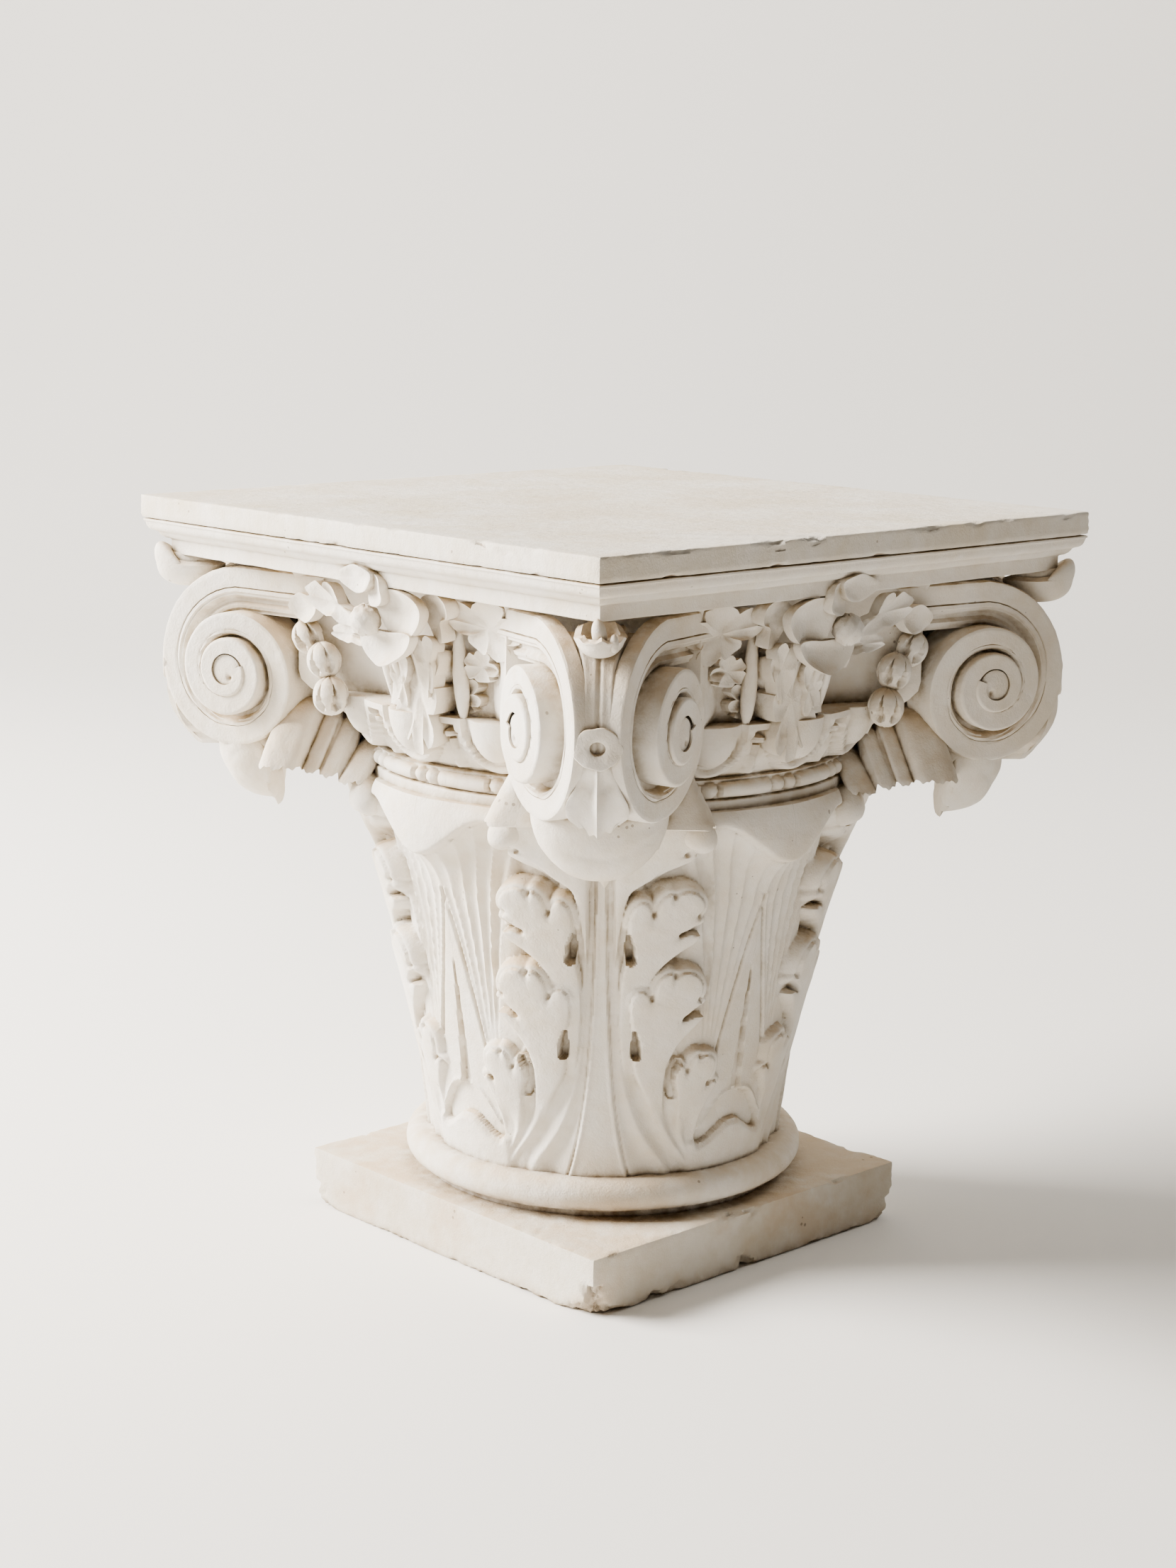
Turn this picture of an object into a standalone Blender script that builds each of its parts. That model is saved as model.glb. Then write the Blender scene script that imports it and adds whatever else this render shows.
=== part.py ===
"""A square capital console: a Composite capital between a plinth slab and a top slab.

Metres, +Z up. The origin is at the middle of the underside, the slabs' sides run along X and Y.
Carving is modelled once for the +X direction and turned to the four faces or the four corners.
"""

import random
from math import cos, exp, pi, radians, sin

import bmesh
import bpy
import numpy as np
from mathutils import Matrix, Vector

# Slabs
TOP_SIDE = 0.580
TOP_THICKNESS = 0.0195
PLINTH_SIDE = 0.371
PLINTH_THICKNESS = 0.052
BED_GAP = 0.0003
ARRIS = 0.0008
PLINTH_WEAR = 0.003
PLINTH_CORNER_BREAK = 0.009
PLINTH_BREAK_HEIGHT = 0.022

# Turned body of the capital, from the foot up
FILLET_RADIUS = 0.160
FILLET_HEIGHT = 0.0067
TORUS_RADIUS = 0.177
TORUS_HEIGHT = 0.027
BELL_FOOT_RADIUS = 0.149
BELL_LIP_RADIUS = 0.203
BELL_HEIGHT = 0.322
LIP_HEIGHT = 0.011
LIP_PROUD = 0.005
ASTRAGAL_BODY_RADIUS = 0.206
ASTRAGAL_HEIGHT = 0.015
ECHINUS_FOOT_RADIUS = 0.207
ECHINUS_LIP_RADIUS = 0.231
ECHINUS_HEIGHT = 0.051
ECHINUS_RIM = 0.008
NECK_RADIUS = 0.198
NECK_HEIGHT = 0.105
TURNED_STEPS = 48

# Square moulded abacus
ABACUS_INSET = 0.001
ABACUS_HEIGHT = 0.031
ABACUS_BAND_INSET = 0.0174

# Concave walls that carry the neck out to the volutes
WALL_SPREAD = radians(29)
WALL_CORNER_SETBACK = 0.116
WALL_FOOT_DROP = 0.030
WALL_COVE = 0.020

# Diagonal volutes
VOLUTE_SETBACK = 0.0207
VOLUTE_NOSE = 0.040
VOLUTE_SPLAY = radians(25)
VOLUTE_RADIUS = 0.087
VOLUTE_TOP_GAP = 0.006
VOLUTE_TURN_RATIO = 0.563
VOLUTE_BAND = 0.017
VOLUTE_PLATE = 0.020
VOLUTE_CHANNEL = 0.008
VOLUTE_SECOND_RISE = 0.013
VOLUTE_THIRD_RISE = 0.018
VOLUTE_STEP = 24
VOLUTE_NOSE_RECESS = 0.006

# Ribbed stem, rosette, husk and cup on the nose of each volute pair
STEM_WIDTH = 0.022
STEM_RISE = 0.005
ROSETTE_WIDTH = 0.033
ROSETTE_HEIGHT = 0.027
ROSETTE_DEPTH = 0.006
HUSK_TOP_WIDTH = 0.026
HUSK_FOOT_WIDTH = 0.049
HUSK_HEIGHT = 0.056
HUSK_THICKNESS = 0.016
CUP_WIDTH = 0.041
CUP_LENGTH = 0.060
CUP_DEPTH = 0.034
CUP_SETBACK = 0.034

# Acanthus leaves on the corners
ACANTHUS_STEM_FOOT = 0.047
ACANTHUS_STEM_HEAD = 0.0084
ACANTHUS_STEM_TAPER = 13.0
ACANTHUS_STEM_RELIEF = 0.009
ACANTHUS_SHEATH = 0.005
ACANTHUS_TIP_SETBACK = 0.047
ACANTHUS_TIP_WIDTH = 0.108
ACANTHUS_TIP_HANG = 0.058
ACANTHUS_TIP_THICKNESS = 0.013
ACANTHUS_TIP_CREST_GAP = 0.006
LOBE_EDGE = 0.0045

# The lobes of one half of an acanthus leaf, from the foot up. Each has the height where it starts to
# lift off the bell, the height of its rim, its relief at the foot and at the rim, and its outline.
# Angles are in degrees from the leaf's middle, heights in hundredths of the bell's height.
ACANTHUS_LOBES = [
    (10, 38, 0.006, 0.0165, [
        (16, -2), (18.5, 10), (21.6, 18), (22.6, 25), (23.0, 32), (24.8, 35.4), (26.4, 35.0), (28.8, 38),
        (32.4, 36.4), (34.9, 33.2), (33.0, 29.6), (34.6, 26.4), (32.0, 22.4), (31.2, 10), (28, -2),
    ]),
    (31, 60, 0.006, 0.0215, [
        (10.5, -2), (12.4, 10), (12.4, 22), (11.2, 32), (10.6, 42), (8.6, 47.5), (8.8, 51), (11.4, 53),
        (14.2, 51.4), (14.8, 54.6), (17.0, 57.6), (19.4, 57.8), (21.4, 60), (25.4, 59.4), (28.2, 55.6),
        (28.6, 52), (26.8, 48.8), (30.4, 44.2), (27.6, 40), (24.6, 33), (22.0, 22), (18, 8), (17, -2),
    ]),
    (54, 80.5, 0.006, 0.0235, [
        (5.5, -2), (6.6, 14), (8.4, 34), (9.0, 50), (8.6, 60), (8.4, 70), (8.6, 75.6), (11.2, 78),
        (13.8, 74.4), (15.2, 77.2), (18.2, 80), (20.0, 79), (22.4, 80.8), (26.4, 79), (27.9, 75.6),
        (25.0, 71.6), (27.0, 68.4), (24.0, 64.4), (19.6, 59), (15.0, 50), (12.6, 34), (12, 14), (11, -2),
    ]),
    (72, 97, 0.006, 0.0235, [
        (4.5, 55), (5.5, 75), (6.0, 101), (14, 101), (20.0, 98.0), (24.0, 97.6), (27.6, 95.6), (29.2, 91.4),
        (25.4, 90.2), (25.4, 86.2), (19.8, 83.0), (14.0, 77), (9.5, 66),
    ]),
]
# Creases from the notches of a lobe's rim down to its root: lobe, then the points.
LOBE_CREASES = [
    [(26.4, 35.4), (25.8, 24), (23, 6)],
    [(33.0, 29.6), (29.4, 20), (26, 4)],
    [(14.2, 52), (14.6, 42), (15, 24)],
    [(19.4, 58), (18.4, 44), (17, 26)],
    [(26.8, 48.8), (22.6, 40), (19, 26)],
    [(13.8, 75), (12.4, 66), (10.8, 50)],
    [(20.0, 79.6), (17.0, 68), (12, 50)],
    [(25.0, 71.6), (19.6, 64), (14, 52)],
    [(25.4, 90.2), (18, 86), (10, 74)],
]
CREASE_DEPTH = 0.0022
CREASE_WIDTH = 0.0034
# Holes drilled where one lobe folds over the next: angle, lowest and highest point, half-width.
LEAF_HOLES = [(9.6, 34.5, 41.5, 0.0034), (7.2, 61.5, 67.5, 0.0034), (22.0, 23, 30, 0.0028)]

# Fronds that hang beside an acanthus tip: distance behind its reach, lowest point, width and length.
FRONDS = [
    (0.060, 0.409, 0.027, 0.054),
    (0.084, 0.408, 0.019, 0.046),
    (0.102, 0.406, 0.018, 0.042),
    (0.119, 0.400, 0.017, 0.040),
]
FROND_OFFSET = 0.045

# Plain leaves on the faces
PLAIN_RELIEF = 0.004
PLAIN_HALF_ANGLE = 23.5
PLAIN_TIP_REACH = 0.229
PLAIN_TIP_HALF_ANGLE = 21.0
PLAIN_TIP_HANG = 14.0
PLAIN_GROOVE = 0.0028
PLAIN_WAVE = 0.005

# Eggs, darts, reels and beads
EGG_COUNT = 16
EGG_WIDTH = 0.050
EGG_DEPTH = 0.036
DART_WIDTH = 0.020
REEL_LENGTH = 0.050
REEL_THICKNESS = 0.0135
BEAD_DIAMETER = 0.013

# Flower, sprays and buds on each face
FLOWER_REACH = 0.272
PETAL_LENGTH = 0.036
PISTIL_DIAMETER = 0.020
BUD_DIAMETER = 0.026
BUD_OUT = 0.118
BUD_DROP = 0.052
FLOWER_DROP = 0.028
STALK_REACH = 0.236
SPRAY_LENGTH = 0.050

# How far pieces of carving are bedded in what carries them
BEDDING = 0.004

CAST_GRAIN = 0.0028
SOFTENING_STEPS = 2
SHARP_ANGLE = radians(35)
CAPITAL_FACETS = 8200

FOOT_Z = PLINTH_THICKNESS + BED_GAP
TORUS_Z = FOOT_Z + FILLET_HEIGHT
BELL_Z = TORUS_Z + TORUS_HEIGHT
LIP_Z = BELL_Z + BELL_HEIGHT
ASTRAGAL_Z = LIP_Z + LIP_HEIGHT
ECHINUS_Z = ASTRAGAL_Z + ASTRAGAL_HEIGHT
NECK_Z = ECHINUS_Z + ECHINUS_HEIGHT
ABACUS_Z = NECK_Z + NECK_HEIGHT
ABACUS_TOP = ABACUS_Z + ABACUS_HEIGHT
TOP_Z = ABACUS_TOP + BED_GAP
ABACUS_SIDE = TOP_SIDE - 2 * ABACUS_INSET
ABACUS_CORNER = ABACUS_SIDE / 2 * 2 ** 0.5
VOLUTE_REACH = ABACUS_CORNER - VOLUTE_SETBACK
WALL_CORNER_RADIUS = VOLUTE_REACH - WALL_CORNER_SETBACK
ACANTHUS_TIP_REACH = VOLUTE_REACH - ACANTHUS_TIP_SETBACK
EYE_Z = ABACUS_Z - VOLUTE_TOP_GAP - VOLUTE_RADIUS
EYE_SETBACK = VOLUTE_RADIUS * VOLUTE_TURN_RATIO ** 0.25
EGG_PITCH = 2 * pi / EGG_COUNT
FACES = [quarter * pi / 2 for quarter in range(4)]
CORNERS = [pi / 4 + face for face in FACES]

for old in list(bpy.data.objects):
    bpy.data.objects.remove(old, do_unlink=True)

console = bpy.data.collections.new("capital_console")
bpy.context.scene.collection.children.link(console)
guides = bpy.data.collections.new("capital_beds")
bpy.context.scene.collection.children.link(guides)
casting = bmesh.new()


def plaster(name, colour, roughness):
    """A matt cast plaster."""
    material = bpy.data.materials.new(name)
    material.use_nodes = True
    shader = material.node_tree.nodes["Principled BSDF"]
    shader.inputs["Base Color"].default_value = (*colour, 1)
    shader.inputs["Roughness"].default_value = roughness
    shader.inputs["Metallic"].default_value = 0.0
    return material


def sub_part(name, mesh, material):
    part = bpy.data.objects.new(name, mesh)
    console.objects.link(part)
    mesh.materials.append(material)
    return part


def carve(mesh, angle=0.0, local=Matrix.Identity(4)):
    """Adds one piece of carving, turned about the vertical axis, to what is cast as one with the bell."""
    turned_mesh = mesh.copy()
    turned_mesh.transform(Matrix.Rotation(angle, 4, "Z") @ local)
    casting.from_mesh(turned_mesh)
    bpy.data.meshes.remove(turned_mesh)


def to_mesh(name, bm):
    bmesh.ops.recalc_face_normals(bm, faces=bm.faces)
    mesh = bpy.data.meshes.new(name)
    bm.to_mesh(mesh)
    bm.free()
    return mesh


def loft(name, rings):
    """A closed body through rings of equally many points, its ends capped."""
    bm = bmesh.new()
    loops = [[bm.verts.new(point) for point in ring] for ring in rings]
    count = len(rings[0])
    for lower, upper in zip(loops, loops[1:]):
        for i in range(count):
            j = (i + 1) % count
            bm.faces.new((lower[i], lower[j], upper[j], upper[i]))
    bm.faces.new(loops[0])
    bm.faces.new(loops[-1])
    return to_mesh(name, bm)


def shaped_grid(columns, rows, shape):
    """A grid whose points are placed by shape(u, v), u and v running from 0 to 1."""
    bm = bmesh.new()
    bmesh.ops.create_grid(bm, x_segments=columns, y_segments=rows, size=0.5)
    for vert in bm.verts:
        vert.co = shape(vert.co.x + 0.5, vert.co.y + 0.5)
    return bm


def blade(name, columns, rows, thickness, shape):
    """A free leaf blade of even thickness."""
    bm = shaped_grid(columns, rows, shape)
    bmesh.ops.solidify(bm, geom=bm.faces[:], thickness=thickness)
    return to_mesh(name, bm)


def ball(name, segments, rings, size):
    """A round body of the given size along X, Y and Z."""
    bm = bmesh.new()
    bmesh.ops.create_uvsphere(bm, u_segments=segments, v_segments=rings, radius=0.5)
    bmesh.ops.scale(bm, vec=size, verts=bm.verts)
    return to_mesh(name, bm)


def turned(name, profile, steps, angle=0.0):
    """Turns a profile, given as radius and height from the top down, about the vertical axis."""
    bm = bmesh.new()
    points = [bm.verts.new((radius, 0, z)) for radius, z in profile]
    for upper, lower in zip(points, points[1:]):
        bm.edges.new((upper, lower))
    mesh = bpy.data.meshes.new(name)
    bm.to_mesh(mesh)
    bm.free()
    part = bpy.data.objects.new(name, mesh)
    part.rotation_euler.z = angle
    screw = part.modifiers.new("turning", "SCREW")
    screw.axis = "Z"
    screw.steps = steps
    screw.render_steps = steps
    screw.use_merge_vertices = True
    screw.merge_threshold = 0.00005
    part.hide_render = True
    part.display_type = "WIRE"
    guides.objects.link(part)
    return part


def shaped(part):
    """The part's mesh with its modifiers taken in."""
    bpy.context.view_layer.update()
    graph = bpy.context.evaluated_depsgraph_get()
    return bpy.data.meshes.new_from_object(part.evaluated_get(graph))


def bell_radius(z):
    """The bell flares slowly at first, then faster towards its lip."""
    rise = (z - BELL_Z) / BELL_HEIGHT
    return BELL_FOOT_RADIUS + (BELL_LIP_RADIUS - BELL_FOOT_RADIUS) * (0.72 * rise + 0.28 * rise ** 3)


def polar(radius, angle, z):
    return Vector((radius * cos(angle), radius * sin(angle), z))


def core_profile():
    """Neck, echinus, astragal bed, lip and bell, from the top down, ending inside the foot."""
    top = ABACUS_Z + BEDDING
    profile = [(0, top), (NECK_RADIUS, top), (NECK_RADIUS, NECK_Z)]
    profile.append((ECHINUS_LIP_RADIUS - BEDDING, NECK_Z))
    for step in range(5):
        turn = step / 4 * pi / 2
        flare = ECHINUS_LIP_RADIUS - ECHINUS_FOOT_RADIUS
        drop = ECHINUS_RIM + (ECHINUS_HEIGHT - ECHINUS_RIM) * sin(turn)
        profile.append((ECHINUS_FOOT_RADIUS + flare * cos(turn), NECK_Z - drop))
    profile.append((ASTRAGAL_BODY_RADIUS - BEDDING, ECHINUS_Z))
    profile.append((ASTRAGAL_BODY_RADIUS - BEDDING, ASTRAGAL_Z))
    profile.append((BELL_LIP_RADIUS + LIP_PROUD, ASTRAGAL_Z))
    profile.append((BELL_LIP_RADIUS + LIP_PROUD, LIP_Z))
    for step in range(7):
        z = LIP_Z - step / 6 * BELL_HEIGHT
        profile.append((bell_radius(z), z))
    profile.append((BELL_FOOT_RADIUS, BELL_Z - TORUS_HEIGHT / 2))
    profile.append((0, BELL_Z - TORUS_HEIGHT / 2))
    return profile


def foot_profile():
    """The torus and the fillet below it, from the top down."""
    half = TORUS_HEIGHT / 2
    profile = [(0, BELL_Z)]
    for step in range(7):
        turn = pi / 2 - step / 6 * pi
        profile.append((TORUS_RADIUS - half + half * cos(turn), TORUS_Z + half + half * sin(turn)))
    profile.append((FILLET_RADIUS, TORUS_Z))
    profile.append((FILLET_RADIUS, FOOT_Z))
    profile.append((0, FOOT_Z))
    return profile


def abacus_profile():
    """The square moulding as corner radius and height: fillet, ovolo, cove and band, from the top down."""
    steps = [(0, 0), (0, 0.003), (0.003, 0.008), (0.008, 0.012), (0.0124, 0.017)]
    band = [(ABACUS_BAND_INSET, 0.019), (ABACUS_BAND_INSET, ABACUS_HEIGHT)]
    profile = [(0, ABACUS_TOP)]
    for inset, drop in steps + band:
        profile.append(((ABACUS_SIDE / 2 - inset) * 2 ** 0.5, ABACUS_TOP - drop))
    profile.append((0, ABACUS_Z))
    return profile


def wall_ring(z, face_radius, corner_radius):
    """A plan with four concave faces, its corners cut off square behind the volutes."""
    ring = []
    for face in FACES:
        for step in range(-3, 4):
            share = abs(step) / 3
            radius = face_radius + (corner_radius - face_radius) * share ** 2
            ring.append(polar(radius, face + WALL_SPREAD * step / 3, z))
    return ring


def spiral(turned_by, inset=0.0):
    """A point of the volute's outline: outwards from the eye and up. Zero degrees is the top."""
    radius = VOLUTE_RADIUS * VOLUTE_TURN_RATIO ** (turned_by / 360) - inset
    turn = radians(turned_by)
    return radius * sin(turn), radius * cos(turn)


def volute_point(outwards, up, proud, side):
    """A point on a volute's face, or proud of it, in the frame of the +X corner; side is 1 or -1."""
    inwards = EYE_SETBACK - outwards
    along = VOLUTE_REACH - inwards * cos(VOLUTE_SPLAY) + proud * sin(VOLUTE_SPLAY)
    across = VOLUTE_NOSE / 2 + inwards * sin(VOLUTE_SPLAY) + proud * cos(VOLUTE_SPLAY)
    return Vector((along, side * across, EYE_Z + up))


def volute_plate(name, outline, low, high, side):
    rings = [[volute_point(out, up, proud, side) for out, up in outline] for proud in (low, high)]
    return loft(name, rings)


def volute_outlines():
    """The channel's floor, the raised outer band and the two inner turns."""
    head = [(-0.085, 0.088), (-0.04, 0.0885)]
    start = [spiral(a) for a in range(0, 300, VOLUTE_STEP)]
    floor = head + [spiral(a, 0.004) for a in range(0, 300, VOLUTE_STEP)] + [(-0.085, 0.045)]
    inner = [spiral(a, VOLUTE_BAND * (1 - a / 700)) for a in range(288, -1, -VOLUTE_STEP)]
    band = head + start + inner + [(-0.04, 0.072), (-0.085, 0.071)]
    second = [spiral(a) for a in range(264, 264 + 340, VOLUTE_STEP)]
    third = [spiral(a) for a in range(590, 590 + 340, 34)]
    return floor, band, second, third


def make_volutes():
    floor, band, second, third = volute_outlines()
    low = -VOLUTE_PLATE
    for side in (1, -1):
        plates = [
            volute_plate("volute_floor", floor, low, -VOLUTE_CHANNEL, side),
            volute_plate("volute_band", band, low + 0.002, 0.0, side),
            volute_plate("volute_second_turn", second, low + 0.004, VOLUTE_SECOND_RISE, side),
            volute_plate("volute_third_turn", third, low + 0.006, VOLUTE_THIRD_RISE, side),
        ]
        for corner in CORNERS:
            for plate in plates:
                carve(plate, corner)
    body = [(-0.085, 0.0865), (0, 0.080)]
    body += [spiral(a, VOLUTE_NOSE_RECESS) for a in range(VOLUTE_STEP, 300, VOLUTE_STEP)]
    faces = [[volute_point(out, up, -BEDDING, side) for out, up in body] for side in (1, -1)]
    wedge = loft("volute_body", faces)
    for corner in CORNERS:
        carve(wedge, corner)


def make_nose():
    """Ribbed stem, rosette, husk and cup, all on the diagonal between a pair of volutes."""
    stem_rings = []
    for a in range(30, 151, 24):
        out, up = spiral(a, VOLUTE_NOSE_RECESS - STEM_RISE)
        root_out, root_up = spiral(a, VOLUTE_NOSE_RECESS + 0.006)
        outer = volute_point(out, up, 0, 1)
        root = volute_point(root_out, root_up, 0, 1)
        half = STEM_WIDTH / 2
        ring = [Vector((root.x, -half, root.z)), Vector((outer.x - 0.004, -half, outer.z))]
        ring += [Vector((outer.x, 0, outer.z)), Vector((outer.x - 0.004, half, outer.z))]
        ring.append(Vector((root.x, half, root.z)))
        stem_rings.append(ring)
    stem = loft("nose_stem", stem_rings)

    rosette_z = EYE_Z - 0.004
    rosette_x = VOLUTE_REACH - 0.001
    rosette_rings = []
    dish = [(-ROSETTE_DEPTH, 0.7), (0.0, 1.0), (ROSETTE_DEPTH, 0.86), (ROSETTE_DEPTH * 0.5, 0.3)]
    for proud, share in dish:
        ring = []
        for step in range(12):
            turn = step * pi / 6
            y = ROSETTE_WIDTH / 2 * share * sin(turn)
            z = ROSETTE_HEIGHT / 2 * share * cos(turn)
            ring.append(Vector((rosette_x + proud, y, rosette_z + z)))
        rosette_rings.append(ring)
    rosette = loft("rosette", rosette_rings)

    husk_rings = []
    husk_top = rosette_z - ROSETTE_HEIGHT / 2 + 0.002
    for step in range(5):
        drop = step / 4
        z = husk_top - HUSK_HEIGHT * drop
        x = VOLUTE_REACH - 0.006 - 0.036 * drop ** 1.6
        half = (HUSK_TOP_WIDTH + (HUSK_FOOT_WIDTH - HUSK_TOP_WIDTH) * drop ** 1.5) / 2
        lift = 0.004 * sin(pi * drop)
        ring = [Vector((x - HUSK_THICKNESS, -half, z)), Vector((x - 0.006, -half, z))]
        ring += [Vector((x + lift, -half * 0.45, z)), Vector((x + 0.003 + lift, 0, z - 0.003 * drop))]
        ring += [Vector((x + lift, half * 0.45, z)), Vector((x - 0.006, half, z))]
        ring.append(Vector((x - HUSK_THICKNESS, half, z)))
        husk_rings.append(ring)
    husk = loft("nose_husk", husk_rings)

    cup_rings = []
    cup_x = ABACUS_CORNER - CUP_SETBACK
    for drop, share in ((1.0, 0.25), (0.82, 0.62), (0.5, 0.9), (0.1, 1.0), (-0.15, 0.86)):
        ring = []
        for step in range(10):
            turn = step * pi / 5
            x = cup_x - 0.010 * drop + CUP_LENGTH / 2 * share * cos(turn)
            y = CUP_WIDTH / 2 * share * sin(turn) * (1 - 0.4 * cos(turn))
            ring.append(Vector((x, y, ABACUS_Z + 0.001 - CUP_DEPTH * drop)))
        cup_rings.append(ring)
    cup = loft("corner_cup", cup_rings)
    for corner in CORNERS:
        for piece in (stem, rosette, husk, cup):
            carve(piece, corner)


def rounded(depth):
    """A quarter-round edge: 0 outside, rising to 1 where the depth reaches 1."""
    inside = np.clip(depth, 0, 1)
    return np.sqrt(1 - (1 - inside) ** 2)


def on_sheet(angle, share):
    """A place on the unrolled bell: arc length from the middle of the leaf, and height, in metres."""
    z = BELL_Z + np.asarray(share) / 100 * BELL_HEIGHT
    return np.radians(angle) * bell_radius(z), z


def distance_to(x, z, low, high):
    """Distance of each place from a straight run, and how far along the run its nearest point lies."""
    run_x, run_z = high[0] - low[0], high[1] - low[1]
    along = np.clip(((x - low[0]) * run_x + (z - low[1]) * run_z) / (run_x ** 2 + run_z ** 2), 0, 1)
    return np.hypot(x - low[0] - along * run_x, z - low[1] - along * run_z), along


def depth_inside(x, z, outline):
    """Distance inside a closed outline, negative outside it."""
    away = np.full(x.shape, 1.0)
    inside = np.zeros(x.shape, bool)
    points = list(zip(*on_sheet(*np.array(outline).T)))
    for low, high in zip(points, points[1:] + points[:1]):
        away = np.minimum(away, distance_to(x, z, low, high)[0])
        if low[1] != high[1]:
            crossing = low[0] + (z - low[1]) / (high[1] - low[1]) * (high[0] - low[0])
            inside ^= ((z < low[1]) != (z < high[1])) & (x < crossing)
    return np.where(inside, away, -away)


def acanthus_relief(angle, share):
    """Height of an acanthus leaf over the bell, at an angle in degrees from its middle."""
    angle = np.abs(angle)
    x, z = on_sheet(angle, share)
    height = ACANTHUS_SHEATH * rounded((9.0 - angle) / 3)
    for lift, rim, foot_relief, rim_relief, outline in ACANTHUS_LOBES:
        depth = depth_inside(x, z, outline)
        raised = np.clip((share - lift) / (rim - lift), 0, 1) ** 1.4
        lobe = foot_relief + (rim_relief - foot_relief) * raised
        height = np.maximum(height, lobe * rounded(depth / LOBE_EDGE))
    for crease in LOBE_CREASES:
        points = list(zip(*on_sheet(*np.array(crease).T)))
        away = np.full(x.shape, 1.0)
        for low, high in zip(points, points[1:]):
            away = np.minimum(away, distance_to(x, z, low, high)[0])
        height = height - CREASE_DEPTH * np.exp(-(away / CREASE_WIDTH) ** 2) * (height > 0.003)
    for middle, low, high, half in LEAF_HOLES:
        foot, head = on_sheet(middle, low), on_sheet(middle, high)
        away, along = distance_to(x, z, foot, head)
        height = np.where(away < half * (1.2 - 0.6 * along), 0, height)
    narrowing = np.exp(-share / ACANTHUS_STEM_TAPER)
    half = (ACANTHUS_STEM_HEAD + (ACANTHUS_STEM_FOOT - ACANTHUS_STEM_HEAD) * narrowing) / 2
    return np.where(x < half, ACANTHUS_STEM_RELIEF, height)


def plain_relief(angle, share):
    """Height of a plain leaf over the bell, at an angle in degrees from its middle."""
    angle = np.abs(angle)
    height = PLAIN_RELIEF * rounded((PLAIN_HALF_ANGLE - angle) / 5)
    tent = np.interp(share, [27, 67], [13.0, 0.0])
    on_tent = (share > 21) & (share < 72)
    height = height - PLAIN_GROOVE * np.exp(-((angle - tent) / 0.9) ** 2) * on_tent
    slot = np.interp(share, [20, 55], [2.2, 0.3])
    height = height - PLAIN_GROOVE * ((angle < slot) & (share > 20) & (share < 55))
    wave_top = np.interp(angle, [0, 7, 13, 16], [21.5, 21.0, 17.5, 14.0])
    wave_low = np.interp(angle, [0, 3, 9, 13, 16], [14.5, 15.0, 12.5, 9.5, 8.5])
    wave = (share < wave_top) & (share > wave_low) & (angle < 16)
    within = np.clip((share - wave_low) / (wave_top - wave_low), 0, 1)
    height = height - PLAIN_WAVE * wave * np.sin(within * pi)
    outward = np.clip((angle - tent) / 16, 0, 1)
    fluting = 0.0016 * np.cos(outward * 5 * pi) * np.clip((share - 45) / 30, 0, 1) * (angle > tent)
    return height + fluting


def plain_tip_relief(angle, share):
    """The tip of a plain leaf rolls over as a cushion that hangs lowest at its middle."""
    across = np.clip(np.abs(angle) / PLAIN_TIP_HALF_ANGLE, 0, 1)
    low = 99.5 - 3.5 - PLAIN_TIP_HANG * (1 - across ** 2) ** 0.9
    rise = np.clip((share - low) / (99.5 - low), 0, 1)
    reach = (PLAIN_TIP_REACH - BELL_LIP_RADIUS + 0.003) * (1 - 0.55 * across ** 2)
    cushion = np.sqrt(np.clip(1 - (1.15 * rise - 0.45) ** 2 / 0.5, 0, 1))
    return reach * cushion * (np.abs(angle) < PLAIN_TIP_HALF_ANGLE) * (share > low)


def bell_relief(angle, share):
    """Height of all the carving over the bell; the angle is in degrees from a corner, from -45 to 45."""
    face_angle = 45 - np.abs(angle)
    plain = plain_relief(face_angle, share)
    height = np.maximum(plain, acanthus_relief(angle, share))
    return np.maximum(height, plain_tip_relief(face_angle, share))


def carved_bell(columns, rows):
    """One quarter of the bell about a corner, its carving drawn back to a core inside the bell."""
    bm = bmesh.new()
    bmesh.ops.create_grid(bm, x_segments=columns, y_segments=rows, size=0.5)
    place = np.array([vert.co for vert in bm.verts])
    angle = place[:, 0] * 90
    share = (place[:, 1] + 0.5) * 100
    z = BELL_Z + share / 100 * BELL_HEIGHT
    radius = bell_radius(z) + bell_relief(angle, share)
    turn = np.radians(angle * 1.01)
    for vert, r, a, height in zip(bm.verts, radius, turn, z):
        vert.co = (r * cos(a), r * sin(a), height)
    drawn = bmesh.ops.extrude_face_region(bm, geom=bm.faces[:], use_keep_orig=True)
    for item in drawn["geom"]:
        if isinstance(item, bmesh.types.BMVert):
            shrink = (BELL_FOOT_RADIUS - 0.02) / item.co.xy.length
            item.co.x *= shrink
            item.co.y *= shrink
    return to_mesh("carved_bell", bm)


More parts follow.
